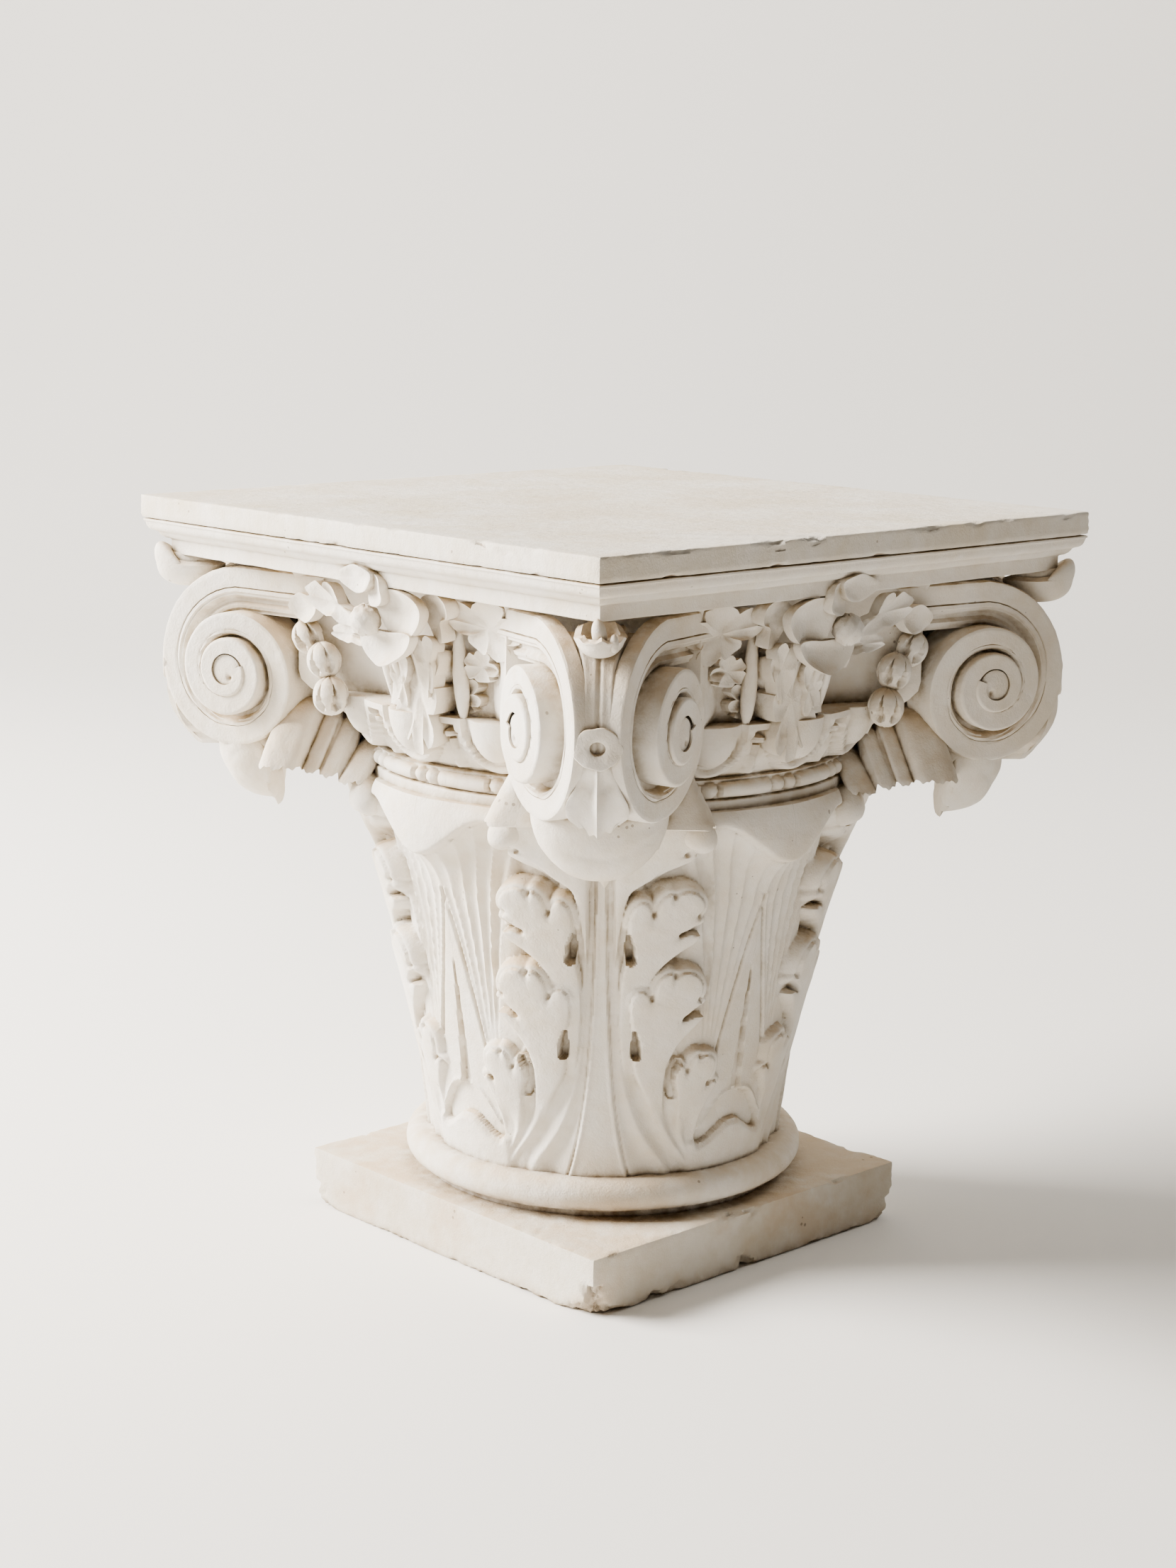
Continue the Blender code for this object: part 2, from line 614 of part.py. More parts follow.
def tip_point(u, v):
    """The acanthus tip: out from the bell, over a crest and rolled back under, spoon-shaped across."""
    across = 2 * u - 1
    crest = EYE_Z - VOLUTE_RADIUS * VOLUTE_TURN_RATIO ** 0.5 + ACANTHUS_TIP_CREST_GAP
    roll_out = 0.036
    middle = ACANTHUS_TIP_REACH - roll_out
    root = bell_radius(BELL_Z + 0.9 * BELL_HEIGHT)
    fall = ACANTHUS_TIP_HANG / 2 * (1 - 0.62 * across ** 2)
    half = ACANTHUS_TIP_WIDTH / 2
    top = crest - 0.010 * across ** 2
    if v < 0.45:
        part = v / 0.45
        x = root + (middle - root) * part
        z = top - 0.052 * (1 - part) ** 2.4
        half += 0.006 * (1 - part)
        return Vector((x, half * across, z))
    part = (v - 0.45) / 0.55
    roll = radians(205 * part)
    x = middle + roll_out * (1 - 0.35 * across ** 2) * sin(roll) - 0.010 * across ** 2
    z = top - fall + fall * cos(roll)
    half *= 1 - 0.40 * part ** 2
    return Vector((x, half * across, z))


def make_leaves():
    """Acanthus and plain leaves, with the acanthus tips and fronds that carry the volutes."""
    bell = carved_bell(90, 110)
    tip = blade("acanthus_tip", 16, 24, ACANTHUS_TIP_THICKNESS, tip_point)
    fronds = []
    for side in (1, -1):
        for behind, low, width, length in FRONDS:
            frond = ball("frond", 12, 8, (width * 1.2, width, length))
            z = low + length / 2
            place = Matrix.Translation((ACANTHUS_TIP_REACH - behind, side * FROND_OFFSET, z))
            fronds.append((frond, place @ Matrix.Rotation(radians(side * 10), 4, "X")))
    for corner in CORNERS:
        carve(bell, corner)
        carve(tip, corner)
        for frond, local in fronds:
            carve(frond, corner, local)


def make_echinus():
    egg = ball("egg", 16, 12, (0.034, EGG_WIDTH, EGG_DEPTH * 2))
    trim = bmesh.new()
    trim.from_mesh(egg)
    plane = bmesh.ops.bisect_plane(
        trim, geom=trim.verts[:] + trim.edges[:] + trim.faces[:], plane_co=(0, 0, 0), plane_no=(0, 0, 1),
        clear_outer=True,
    )
    edges = [item for item in plane["geom_cut"] if isinstance(item, bmesh.types.BMEdge)]
    bmesh.ops.holes_fill(trim, edges=edges)
    trim.to_mesh(egg)
    trim.free()
    dart = loft("dart", [
        [Vector((0.000, -DART_WIDTH / 2, z)), Vector((front, -DART_WIDTH / 2, z)),
         Vector((front, DART_WIDTH / 2, z)), Vector((0.000, DART_WIDTH / 2, z))]
        for z, front in ((0.0, 0.018), (-0.020, 0.016), (-EGG_DEPTH, 0.004))
    ])
    reel_rings = []
    for share, size in ((-0.5, 0.5), (-0.4, 1.0), (0.4, 1.0), (0.5, 0.5)):
        ring = []
        for step in range(6):
            turn = step * pi / 3
            half = REEL_THICKNESS / 2 * size
            bow = REEL_LENGTH * share
            sag = bow ** 2 / (2 * ASTRAGAL_BODY_RADIUS)
            ring.append(Vector((half * cos(turn) - sag, bow, half * sin(turn))))
        reel_rings.append(ring)
    reel = loft("reel", reel_rings)
    bead = ball("bead", 6, 4, (BEAD_DIAMETER,) * 3)
    egg_lift = Matrix.Translation((ECHINUS_LIP_RADIUS - 0.010, 0, NECK_Z + 0.001))
    dart_lift = Matrix.Translation((ECHINUS_LIP_RADIUS - 0.013, 0, NECK_Z + 0.002))
    ring_z = ASTRAGAL_Z + ASTRAGAL_HEIGHT / 2
    reel_lift = Matrix.Translation((ASTRAGAL_BODY_RADIUS + 0.001, 0, ring_z))
    bead_gap = BEAD_DIAMETER * 0.56 / ASTRAGAL_BODY_RADIUS
    for face in FACES:
        for step in (-1, 0, 1):
            angle = face + step * EGG_PITCH
            carve(egg, angle, egg_lift)
            for side in (-1, 1):
                carve(bead, angle + side * bead_gap, reel_lift)
        for step in (-1.5, -0.5, 0.5, 1.5):
            carve(reel, face + step * EGG_PITCH, reel_lift)
        for step in (-0.5, 0.5):
            carve(dart, face + step * EGG_PITCH, dart_lift)


def leaf_place(x, y, z, lean, turn_out=0.0):
    """Places carving on a face: lean turns it in the plane of the face, turn_out about the vertical."""
    turned_out = Matrix.Rotation(turn_out, 4, "Z")
    return Matrix.Translation((x, y, z)) @ turned_out @ Matrix.Rotation(lean, 4, "X")


def make_flowers():
    """A five-petalled flower over the abacus, leaf sprays beside it and a drop of three buds each side."""
    flower_z = ABACUS_Z - FLOWER_DROP
    petal = ball("petal", 10, 8, (PETAL_LENGTH / 2, PETAL_LENGTH * 0.72, PETAL_LENGTH))
    pistil = ball("pistil", 8, 6, (PISTIL_DIAMETER,) * 3)
    stations = [
        (STALK_REACH, 0.016, NECK_Z - ECHINUS_HEIGHT * 0.67),
        (STALK_REACH + 0.004, 0.009, NECK_Z + 0.020),
        (STALK_REACH + 0.016, 0.014, flower_z + 0.030),
    ]
    rings = []
    for x, half, z in stations:
        back = x - STALK_REACH * 0.2
        rings.append([
            Vector((back, -half, z)), Vector((x + 0.004, -half, z)), Vector((x + 0.008, 0, z)),
            Vector((x + 0.004, half, z)), Vector((back, half, z)),
        ])
    stalk = loft("stalk", rings)
    leaves = [
        (SPRAY_LENGTH, NECK_RADIUS + 0.028, 0.092, ABACUS_Z - 0.030, -30, 0.3),
        (SPRAY_LENGTH, NECK_RADIUS + 0.028, 0.050, ABACUS_Z - 0.022, -60, 0.15),
        (SPRAY_LENGTH * 0.72, NECK_RADIUS + 0.012, 0.060, NECK_Z + 0.028, -20, 0.2),
    ]
    bud = ball("bud", 10, 8, (BUD_DIAMETER, BUD_DIAMETER, BUD_DIAMETER * 1.15))
    for face in FACES:
        carve(stalk, face)
        carve(pistil, face, Matrix.Translation((FLOWER_REACH - PISTIL_DIAMETER * 0.4, 0, flower_z)))
        for step in range(5):
            lean = 2 * pi * step / 5
            y = -sin(lean) * PETAL_LENGTH * 0.62
            z = flower_z + cos(lean) * PETAL_LENGTH * 0.62
            carve(petal, face, leaf_place(FLOWER_REACH - PISTIL_DIAMETER * 0.7, y, z, lean))
        for side in (1, -1):
            for length, x, y, z, lean, out in leaves:
                spray = ball("spray_leaf", 10, 8, (length * 0.68, length * 0.68, length))
                carve(spray, face, leaf_place(x, side * y, z, side * radians(lean), side * out))
            for step in range(3):
                y = side * (BUD_OUT - BUD_DIAMETER * 0.62 * step)
                z = ABACUS_Z - BUD_DROP - BUD_DIAMETER * 0.96 * step
                carve(bud, face, Matrix.Translation((NECK_RADIUS + 0.038 - 0.006 * step, y, z)))


def outer_skin(mesh):
    """Keeps the outer skin of a cast mesh alone, so that no closed void stays inside."""
    bm = bmesh.new()
    bm.from_mesh(mesh)
    unseen = set(bm.verts)
    skins = []
    while unseen:
        skin = {unseen.pop()}
        front = list(skin)
        while front:
            for edge in front.pop().link_edges:
                for other in edge.verts:
                    if other not in skin:
                        skin.add(other)
                        front.append(other)
        unseen -= skin
        skins.append(skin)
    skins.sort(key=len)
    for skin in skins[:-1]:
        bmesh.ops.delete(bm, geom=list(skin), context="VERTS")
    bm.to_mesh(mesh)
    bm.free()


def make_capital(material):
    """Casts the carving as one skin, then joins the crisp abacus and foot to it."""
    core = turned("core", core_profile(), TURNED_STEPS)
    carve(shaped(core))
    bpy.data.objects.remove(core)
    wall_top = ABACUS_Z + BEDDING / 2
    walls = loft("neck_walls", [
        wall_ring(NECK_Z - WALL_FOOT_DROP, NECK_RADIUS - BEDDING, WALL_CORNER_RADIUS - WALL_FOOT_DROP),
        wall_ring(NECK_Z, NECK_RADIUS, WALL_CORNER_RADIUS),
        wall_ring(wall_top - WALL_COVE, NECK_RADIUS, WALL_CORNER_RADIUS),
        wall_ring(wall_top, NECK_RADIUS + WALL_COVE * 0.6, WALL_CORNER_RADIUS + WALL_COVE * 0.4),
    ])
    carve(walls)
    make_volutes()
    make_nose()
    make_leaves()
    make_echinus()
    make_flowers()
    capital = sub_part("capital", to_mesh("capital", casting), material)
    skin = capital.modifiers.new("cast_skin", "REMESH")
    skin.mode = "VOXEL"
    skin.voxel_size = CAST_GRAIN
    soft = capital.modifiers.new("soft_grain", "SMOOTH")
    soft.factor = 0.5
    soft.iterations = SOFTENING_STEPS
    mesh = shaped(capital)
    outer_skin(mesh)
    capital.modifiers.clear()
    capital.data = mesh
    eased = capital.modifiers.new("eased_facets", "DECIMATE")
    eased.ratio = CAPITAL_FACETS / (2 * len(mesh.polygons))
    eased.use_collapse_triangulate = True
    for bed in (turned("abacus", abacus_profile(), 4, pi / 4), turned("foot", foot_profile(), TURNED_STEPS)):
        joint = capital.modifiers.new(bed.name, "BOOLEAN")
        joint.operation = "UNION"
        joint.object = bed
        joint.solver = "MANIFOLD"
    mesh = shaped(capital)
    outer_skin(mesh)
    capital.modifiers.clear()
    mesh.shade_smooth()
    mesh.set_sharp_from_angle(angle=SHARP_ANGLE)
    capital.data = mesh


def broken_slab(name, side, thickness, material):
    """A square slab whose lower edge has crumbled, most of all at its front corner."""
    chance = random.Random(11)
    per_side = 9
    levels = [(0.0, 1.0), (0.006, 0.45), (PLINTH_BREAK_HEIGHT, 0.0), (thickness, 0.0)]
    rings = []
    for z, wear in levels:
        ring = []
        for quarter in range(4):
            for step in range(per_side):
                along = -side / 2 + side * step / per_side
                inset = PLINTH_WEAR * wear * (0.2 + 0.8 * chance.random())
                if quarter == 2 and step == 0 and z < PLINTH_BREAK_HEIGHT:
                    inset = PLINTH_CORNER_BREAK * (0.5 + 0.5 * wear)
                point = Vector((side / 2 - inset, along + (inset if step == 0 else 0), z))
                point.rotate(Matrix.Rotation(quarter * pi / 2, 3, "Z"))
                ring.append(point)
        rings.append(ring)
    return sub_part(name, loft(name, rings), material)


def plain_slab(name, side, thickness, low, material):
    bm = bmesh.new()
    bmesh.ops.create_cube(bm, size=1.0)
    bmesh.ops.scale(bm, vec=(side, side, thickness), verts=bm.verts)
    bmesh.ops.translate(bm, vec=(0, 0, low + thickness / 2), verts=bm.verts)
    slab = sub_part(name, to_mesh(name, bm), material)
    arris = slab.modifiers.new("worn_arris", "BEVEL")
    arris.width = ARRIS
    arris.segments = 1
    return slab


broken_slab("base_plinth", PLINTH_SIDE, PLINTH_THICKNESS, plaster("plinth_plaster", (0.62, 0.57, 0.49), 0.85))
make_capital(plaster("capital_plaster", (0.80, 0.77, 0.71), 0.8))
plain_slab("top_slab", TOP_SIDE, TOP_THICKNESS, TOP_Z, plaster("slab_plaster", (0.76, 0.72, 0.65), 0.75))
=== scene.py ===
from functools import partial
from math import cos, pi, radians, sin, sqrt

import bpy
import numpy as np
from mathutils import Matrix, Vector


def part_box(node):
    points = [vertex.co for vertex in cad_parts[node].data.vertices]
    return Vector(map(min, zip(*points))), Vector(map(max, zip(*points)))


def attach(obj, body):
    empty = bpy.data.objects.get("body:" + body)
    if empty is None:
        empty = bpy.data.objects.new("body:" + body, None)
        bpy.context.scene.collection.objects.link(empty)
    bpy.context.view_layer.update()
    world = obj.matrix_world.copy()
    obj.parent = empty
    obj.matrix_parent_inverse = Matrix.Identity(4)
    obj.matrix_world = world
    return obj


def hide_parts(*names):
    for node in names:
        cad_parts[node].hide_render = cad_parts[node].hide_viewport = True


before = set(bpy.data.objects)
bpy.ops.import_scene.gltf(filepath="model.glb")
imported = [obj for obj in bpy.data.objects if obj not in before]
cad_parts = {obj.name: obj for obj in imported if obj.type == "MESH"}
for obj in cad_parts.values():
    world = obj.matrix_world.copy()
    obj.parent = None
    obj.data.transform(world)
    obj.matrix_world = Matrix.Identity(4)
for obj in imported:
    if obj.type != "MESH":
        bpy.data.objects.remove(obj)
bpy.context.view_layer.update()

# Camera. It stands a little above the slab and looks down on the console's front corner, which is the
# corner at -X, -Y. Its place and lens were fitted to the slab's and the plinth's corners.
CAMERA_PLACE = Vector((-1.61905, -1.69288, 0.8642))
CAMERA_AIM = Vector((0.67206, 0.71378, -0.19710))
CAMERA_ROLL = 0.0155
LENS_MM = 62.32

camera = bpy.data.objects.new("camera", bpy.data.cameras.new("camera"))
bpy.context.scene.collection.objects.link(camera)
bpy.context.scene.camera = camera
camera.data.lens = LENS_MM
camera.data.sensor_width = 36.0
turn = CAMERA_AIM.to_track_quat("-Z", "Y").to_matrix() @ Matrix.Rotation(CAMERA_ROLL, 3, "Z")
camera.matrix_world = Matrix.Translation(CAMERA_PLACE) @ turn.to_4x4()

# Studio. A seamless pale paper sweep. A large soft light stands high on the left, beside the object. A
# weak one hangs overhead, and two wash the paper behind it, as in a catalogue picture.
FLOOR_COLOUR = "ece9e4"
SWEEP_SIZE = 14.0
SWEEP_BACK = 3.2
SWEEP_RADIUS = 1.6
SWEEP_RISE = 6.0


def linear(code):
    """A six-figure sRGB colour as linear red, green, blue and alpha."""
    parts = [int(code[i:i + 2], 16) / 255 for i in (0, 2, 4)]
    return [c / 12.92 if c <= 0.04045 else ((c + 0.055) / 1.055) ** 2.4 for c in parts] + [1.0]


def set_sockets(tree, node, **inputs):
    """Sets a node's sockets, or links those that are given another node's output. A socket goes by its
    name, with _ for a space, or by i and its number."""
    for key, value in inputs.items():
        numbered = key[0] == "i" and key[1:].isdigit()
        socket = node.inputs[int(key[1:]) if numbered else key.replace("_", " ")]
        if isinstance(value, bpy.types.NodeSocket):
            tree.links.new(value, socket)
        else:
            socket.default_value = value


def add_node(tree, kind, settings=None, **inputs):
    """Adds a node with its settings and links."""
    node = tree.nodes.new("ShaderNode" + kind)
    for key, value in (settings or {}).items():
        setattr(node, key, value)
    set_sockets(tree, node, **inputs)
    return node


def new_material(name):
    material = bpy.data.materials.new(name)
    material.use_nodes = True
    return material, material.node_tree, material.node_tree.nodes["Principled BSDF"]


def deselect():
    bpy.ops.object.select_all(action="DESELECT")


deselect()
bpy.ops.mesh.primitive_grid_add(x_subdivisions=2, y_subdivisions=60, size=1)
sweep = bpy.context.object
sweep.name = "paper_sweep"
back = CAMERA_AIM.to_2d().normalized()
side = Vector((back.y, -back.x))
quarter_turn = SWEEP_RADIUS * pi / 2
for vert in sweep.data.vertices:
    run = (vert.co.y + 0.5) * (SWEEP_SIZE + quarter_turn + SWEEP_RISE) - SWEEP_SIZE + SWEEP_BACK
    bend = min(max(run - SWEEP_BACK, 0), quarter_turn) / SWEEP_RADIUS
    rise = max(run - SWEEP_BACK - quarter_turn, 0)
    away = min(run, SWEEP_BACK) + SWEEP_RADIUS * sin(bend)
    place = back * away + side * vert.co.x * SWEEP_SIZE
    vert.co = (place.x, place.y, SWEEP_RADIUS * (1 - cos(bend)) + rise)
sweep.data.shade_smooth()
# Matt paper, which shows no sheen.
paper, tree, shader = new_material("seamless_paper_matt")
set_sockets(tree, shader, Base_Color=linear(FLOOR_COLOUR), Roughness=0.9)
sweep.data.materials.append(paper)


def soft_light(name, place, aim, size, watts, colour):
    light = bpy.data.lights.new(name, "AREA")
    light.shape = "RECTANGLE"
    light.size, light.size_y = size
    light.energy = watts
    light.color = linear(colour)[:3]
    lamp = bpy.data.objects.new(name, light)
    lamp.location = place
    lamp.rotation_euler = (Vector(aim) - Vector(place)).to_track_quat("-Z", "Y").to_euler()
    bpy.context.scene.collection.objects.link(lamp)


soft_light("key_softbox", (-2.30, 2.40, 2.15), (0, 0, 0.4), (2.0, 2.0), 950, "fff9f1")
soft_light("overhead", (-0.4, 1.6, 3.5), (0.2, 0.2, 0.2), (3.0, 3.0), 22, "fffdfa")
soft_light("backdrop_left", (-0.6, 2.9, 2.8), (2.3, 4.1, 0.8), (1.6, 1.6), 100, "fffefa")
soft_light("backdrop_right", (2.9, -0.6, 2.8), (3.4, 0.2, 0.0), (1.6, 1.6), 85, "fffefa")
world = bpy.data.worlds.new("studio")
world.use_nodes = True
set_sockets(world.node_tree, world.node_tree.nodes["Background"], Color=linear("f0d9bb"), Strength=0.06)
bpy.context.scene.world = world

# Base plinth. A plain square slab of cast plaster on which the round foot stands. It has been knocked
# and dragged: its lower edge is broken all round, most of all at the front corner, and its top is stained.
PLINTH_CHIP = 0.0040
PLINTH_GRAIN = 0.012
PLINTH_POINT_STEP = 0.0030
PLINTH_LEVELS = 16
# Each break of a slab: its place in half sides, how far it reaches, how deep it cuts and how high.
PLINTH_BREAKS = [(-1, -1, 0.045, 0.016, 0.026), (1, -1, 0.03, 0.008, 0.02), (-1, 1, 0.03, 0.008, 0.02),
                 (1, 1, 0.02, 0.006, 0.02)]
# A slab stays this far inside its solid's sides.
SIDE_MARGIN = 0.00005


def pick(piece):
    """Makes a piece the active one and the only one that is selected."""
    deselect()
    piece.select_set(True)
    bpy.context.view_layer.objects.active = piece


def open_mesh(piece):
    """Opens a piece in edit mode with all of its mesh selected."""
    pick(piece)
    bpy.ops.object.mode_set(mode="EDIT")
    bpy.ops.mesh.select_all(action="SELECT")


def select_rim():
    """Selects the open edges of the mesh that is being edited."""
    bpy.ops.mesh.select_all(action="DESELECT")
    bpy.ops.mesh.select_mode(type="EDGE")
    bpy.ops.mesh.select_non_manifold()


def close_mesh():
    """Turns the faces of the mesh that is being edited outwards, and leaves edit mode."""
    bpy.ops.mesh.select_mode(type="VERT")
    bpy.ops.mesh.select_all(action="SELECT")
    bpy.ops.mesh.normals_make_consistent(inside=False)
    bpy.ops.object.mode_set(mode="OBJECT")


def named(piece, name):
    piece.name = name
    piece.data.name = name
    return piece


def square_ring(half, z, step):
    """Adds the outline of a square, its points a step apart, and leaves it open in edit mode."""
    deselect()
    bpy.ops.mesh.primitive_plane_add(size=2 * half, location=(0, 0, z))
    bpy.ops.object.transform_apply()
    open_mesh(bpy.context.object)
    bpy.ops.mesh.delete(type="ONLY_FACE")
    bpy.ops.mesh.select_all(action="SELECT")
    bpy.ops.mesh.subdivide(number_cuts=int(2 * half / step))


def raise_ring(profile, name):
    """Extrudes the selected ring through a profile of (size, height), closes both ends and names it.
    The first point of the profile is where the ring already is."""
    for (size, z), (next_size, next_z) in zip(profile, profile[1:]):
        bpy.ops.mesh.extrude_region_move(TRANSFORM_OT_translate={"value": (0, 0, next_z - z)})
        scale = next_size / size
        bpy.ops.transform.resize(value=(scale, scale, 1), center_override=(0, 0, 0))
    bpy.ops.mesh.edge_face_add()
    select_rim()
    bpy.ops.mesh.edge_face_add()
    close_mesh()
    return named(bpy.context.object, name)


def noise_field(points, seed, waves=14):
    """A smooth random field from -1 to 1, about a period of 1 across, made of a few random waves."""
    chance = np.random.default_rng(seed)
    total = np.zeros(len(points))
    for _ in range(waves):
        direction = chance.normal(size=3)
        direction *= 2 * pi * chance.uniform(0.6, 1.4) / np.linalg.norm(direction)
        total += np.sin(points @ direction + chance.uniform(0, 2 * pi))
    return np.clip(total / sqrt(waves) / 1.4, -1, 1)


def vertices_of(piece):
    points = np.empty(len(piece.data.vertices) * 3)
    piece.data.vertices.foreach_get("co", points)
    return points.reshape(-1, 3)


def set_vertices(piece, points):
    piece.data.vertices.foreach_set("co", np.ascontiguousarray(points, dtype=np.float32).ravel())
    piece.data.update()


def wear_arrises(piece, half, low, high, chip, grain, seed, low_wear, breaks):
    """Crumbles the arrises of a square slab: nicks of random depth along every edge, and the breaks."""
    points = vertices_of(piece)
    fine, middling, coarse = (noise_field(points / (grain * breadth), seed + count) * 0.5 + 0.5
                              for count, breadth in enumerate((0.6, 2.3, 9)))
    crumbs = 0.12 + 0.55 * fine * coarse
    bites = 2.6 * np.clip(middling * (0.4 + coarse) - 0.52, 0, 1) * (0.5 + fine)
    nicks = (crumbs + bites) * chip
    nicks = np.where(points[:, 2] < (low + high) / 2, nicks * low_wear, nicks)
    for corner_x, corner_y, reach, depth, height in breaks:
        near = np.hypot(points[:, 0] - corner_x * half, points[:, 1] - corner_y * half)
        share = np.clip(1 - near / reach, 0, 1) * (points[:, 2] < low + height)
        nicks = nicks + depth * share * (0.7 + 0.6 * fine)
    to_x = half - np.abs(points[:, 0])
    to_y = half - np.abs(points[:, 1])
    to_z = np.minimum(points[:, 2] - low, high - points[:, 2])
    in_lower_half = points[:, 2] - low < high - points[:, 2]
    for first, second in ((to_x, to_y), (to_x, to_z), (to_y, to_z)):
        push = np.clip(nicks - first - second, 0, None) / 2
        first += push
        second += push
    points[:, 0] = np.sign(points[:, 0]) * (half - to_x)
    points[:, 1] = np.sign(points[:, 1]) * (half - to_y)
    points[:, 2] = np.where(in_lower_half, low + to_z, high - to_z)
    set_vertices(piece, points)


def place_piece(piece, node, material, sharp=40):
    """Paints a finished piece, shades it, hangs it under the root body and hides the solid that it stands
    for. Edges that turn more than sharp degrees stay crisp."""
    pick(piece)
    piece.data.materials.append(material)
    bpy.ops.object.shade_smooth_by_angle(angle=radians(sharp))
    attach(piece, "root")
    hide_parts(node)


def cast_plaster(name, light, warm, dust_and_shade, dust_and_shade_share, settled, stain=None, stain_share=0.0, pit_share=0.20):
    """Old cast plaster: chalky and matt, warm where handled, tan dust and painted shade in the hollows, pin
    holes left by air in the casting and painted dark as shade, and a fine grain over low lumps. Colours are
    sRGB, shares from 0 to 1."""
    material, tree, shader = new_material(name)
    add = partial(add_node, tree)
    times = {"operation": "MULTIPLY"}
    times_plus = {"operation": "MULTIPLY_ADD"}
    colours = {"data_type": "RGBA"}
    coordinates = add("TexCoord")
    place = coordinates.outputs["Object"]
    # Clouding over a hand's breadth, and smaller blotches a finger wide.
    cloud = add("TexNoise", Vector=place, Scale=1 / 0.11, Detail=4.0, Roughness=0.6).outputs["Fac"]
    blotch = add("TexNoise", Vector=place, Scale=1 / 0.018, Detail=5.0, Roughness=0.65).outputs["Fac"]
    mixed = add("Math", times_plus, i0=blotch, i1=0.55, i2=cloud).outputs[0]
    warmth = add("MapRange", Value=mixed, From_Min=0.62, From_Max=0.98).outputs[0]
    colour = add("Mix", colours, Factor=warmth, i6=linear(light), i7=linear(warm)).outputs[2]
    if stain:
        patch = add("TexNoise", Vector=place, Scale=1 / 0.07, Detail=6.0, Roughness=0.62).outputs["Fac"]
        spread = add("MapRange", Value=patch, From_Min=0.50, From_Max=0.68, To_Max=stain_share).outputs[0]
        colour = add("Mix", colours, Factor=spread, i6=colour, i7=linear(stain)).outputs[2]
    # Dust has settled on every ledge that faces up, thickest where the blotches are.
    facing = add("SeparateXYZ", Vector=coordinates.outputs["Normal"]).outputs["Z"]
    ledge = add("MapRange", Value=facing, From_Min=0.30, From_Max=0.85, To_Max=settled).outputs[0]
    patchy = add("MapRange", Value=mixed, From_Min=0.55, From_Max=0.85).outputs[0]
    lying = add("Math", times, i0=ledge, i1=patchy).outputs[0]
    colour = add("Mix", colours, Factor=lying, i6=colour, i7=linear("c4a67c")).outputs[2]
    # Painted shade, with dust and old wax, in the hollows: a wide soft tint and a narrow dark line in the
    # deepest creases.
    for reach, share in ((0.020, 0.80), (0.005, 1.0)):
        hollow = add("AmbientOcclusion", {"samples": 6}, Distance=reach).outputs["AO"]
        closed = add("MapRange", Value=hollow, From_Min=0.78, From_Max=0.26).outputs[0]
        uneven = add("MapRange", Value=blotch, From_Min=0.30, From_Max=0.62).outputs[0]
        amount = add("Math", times, i0=closed, i1=uneven).outputs[0]
        dust_and_shade_mix = add("Math", times, i0=amount, i1=share * dust_and_shade_share).outputs[0]
        colour = add("Mix", colours, Factor=dust_and_shade_mix, i6=colour, i7=linear(dust_and_shade)).outputs[2]
    # Pin holes up to three millimetres across, in loose groups, painted dark as the shade inside them.
    cell = add("TexVoronoi", {"feature": "F1"}, Vector=place, Scale=1 / 0.0075).outputs["Distance"]
    group = add("TexNoise", Vector=place, Scale=1 / 0.035, Detail=2.0).outputs["Fac"]
    allowed = add("MapRange", Value=group, From_Min=0.60, From_Max=0.72, To_Max=pit_share).outputs[0]
    hole = add("Math", {"operation": "LESS_THAN"}, i0=cell, i1=allowed).outputs[0]
    pit_shade = add("Math", times, i0=hole, i1=0.6).outputs[0]
    colour = add("Mix", colours, Factor=pit_shade, i6=colour, i7=linear("6f604c")).outputs[2]
    # Grain half a millimetre across would not show at this distance, so it is drawn about three times as
    # coarse. It lies over low lumps nine millimetres across.
    grain = add("TexNoise", Vector=place, Scale=1 / 0.0016, Detail=3.0, Roughness=0.6).outputs["Fac"]
    lumps = add("TexNoise", Vector=place, Scale=1 / 0.009, Detail=4.0, Roughness=0.55).outputs["Fac"]
    deep = add("Math", times_plus, i0=lumps, i1=2.4, i2=grain).outputs[0]
    level = add("Math", times_plus, i0=hole, i1=-1.5, i2=deep).outputs[0]
    bump = add("Bump", Height=level, Strength=0.65, Distance=0.0006).outputs["Normal"]
    sheen = add("MapRange", Value=blotch, To_Min=0.62, To_Max=0.88).outputs[0]
    set_sockets(tree, shader, Base_Color=colour, Normal=bump, Roughness=sheen, IOR=1.45,
                Specular_IOR_Level=0.35)
    return material


plinth_plaster = cast_plaster("plaster_cast_worn_grey", "d6cfc2", "c6baa6", "7a6748",
                              dust_and_shade_share=0.80, settled=0.5, stain="c0a684", stain_share=0.5)
low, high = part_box("base_plinth")
plinth_half = high[0] - SIDE_MARGIN
levels = [(plinth_half - inset, low[2]) for inset in (0.010, 0.004, 0)]
for step in range(1, PLINTH_LEVELS + 1):
    levels.append((plinth_half, low[2] + (high[2] - low[2]) * step / PLINTH_LEVELS))
levels += [(plinth_half - inset, high[2]) for inset in (0.003, 0.008, 0.02)]
square_ring(*levels[0], PLINTH_POINT_STEP)
plinth = raise_ring(levels, "plinth_slab")
wear_arrises(plinth, plinth_half, low[2], high[2], PLINTH_CHIP, PLINTH_GRAIN, seed=3, low_wear=2.2,
             breaks=PLINTH_BREAKS)
place_piece(plinth, "base_plinth", plinth_plaster)

# Foot of the capital. A thin dark fillet set back under a plain round torus. Both are plaster, cast in
# one with the bell above them, and stand on the plinth.
FILLET_RADIUS = 0.160
FILLET_HEIGHT = 0.0067
TORUS_RADIUS = 0.177
TORUS_HEIGHT = 0.027
FOOT_UNDERSIDE_RADIUS = 0.120
FOOT_TOP_RADIUS = 0.140
ROUND_POINTS = 288
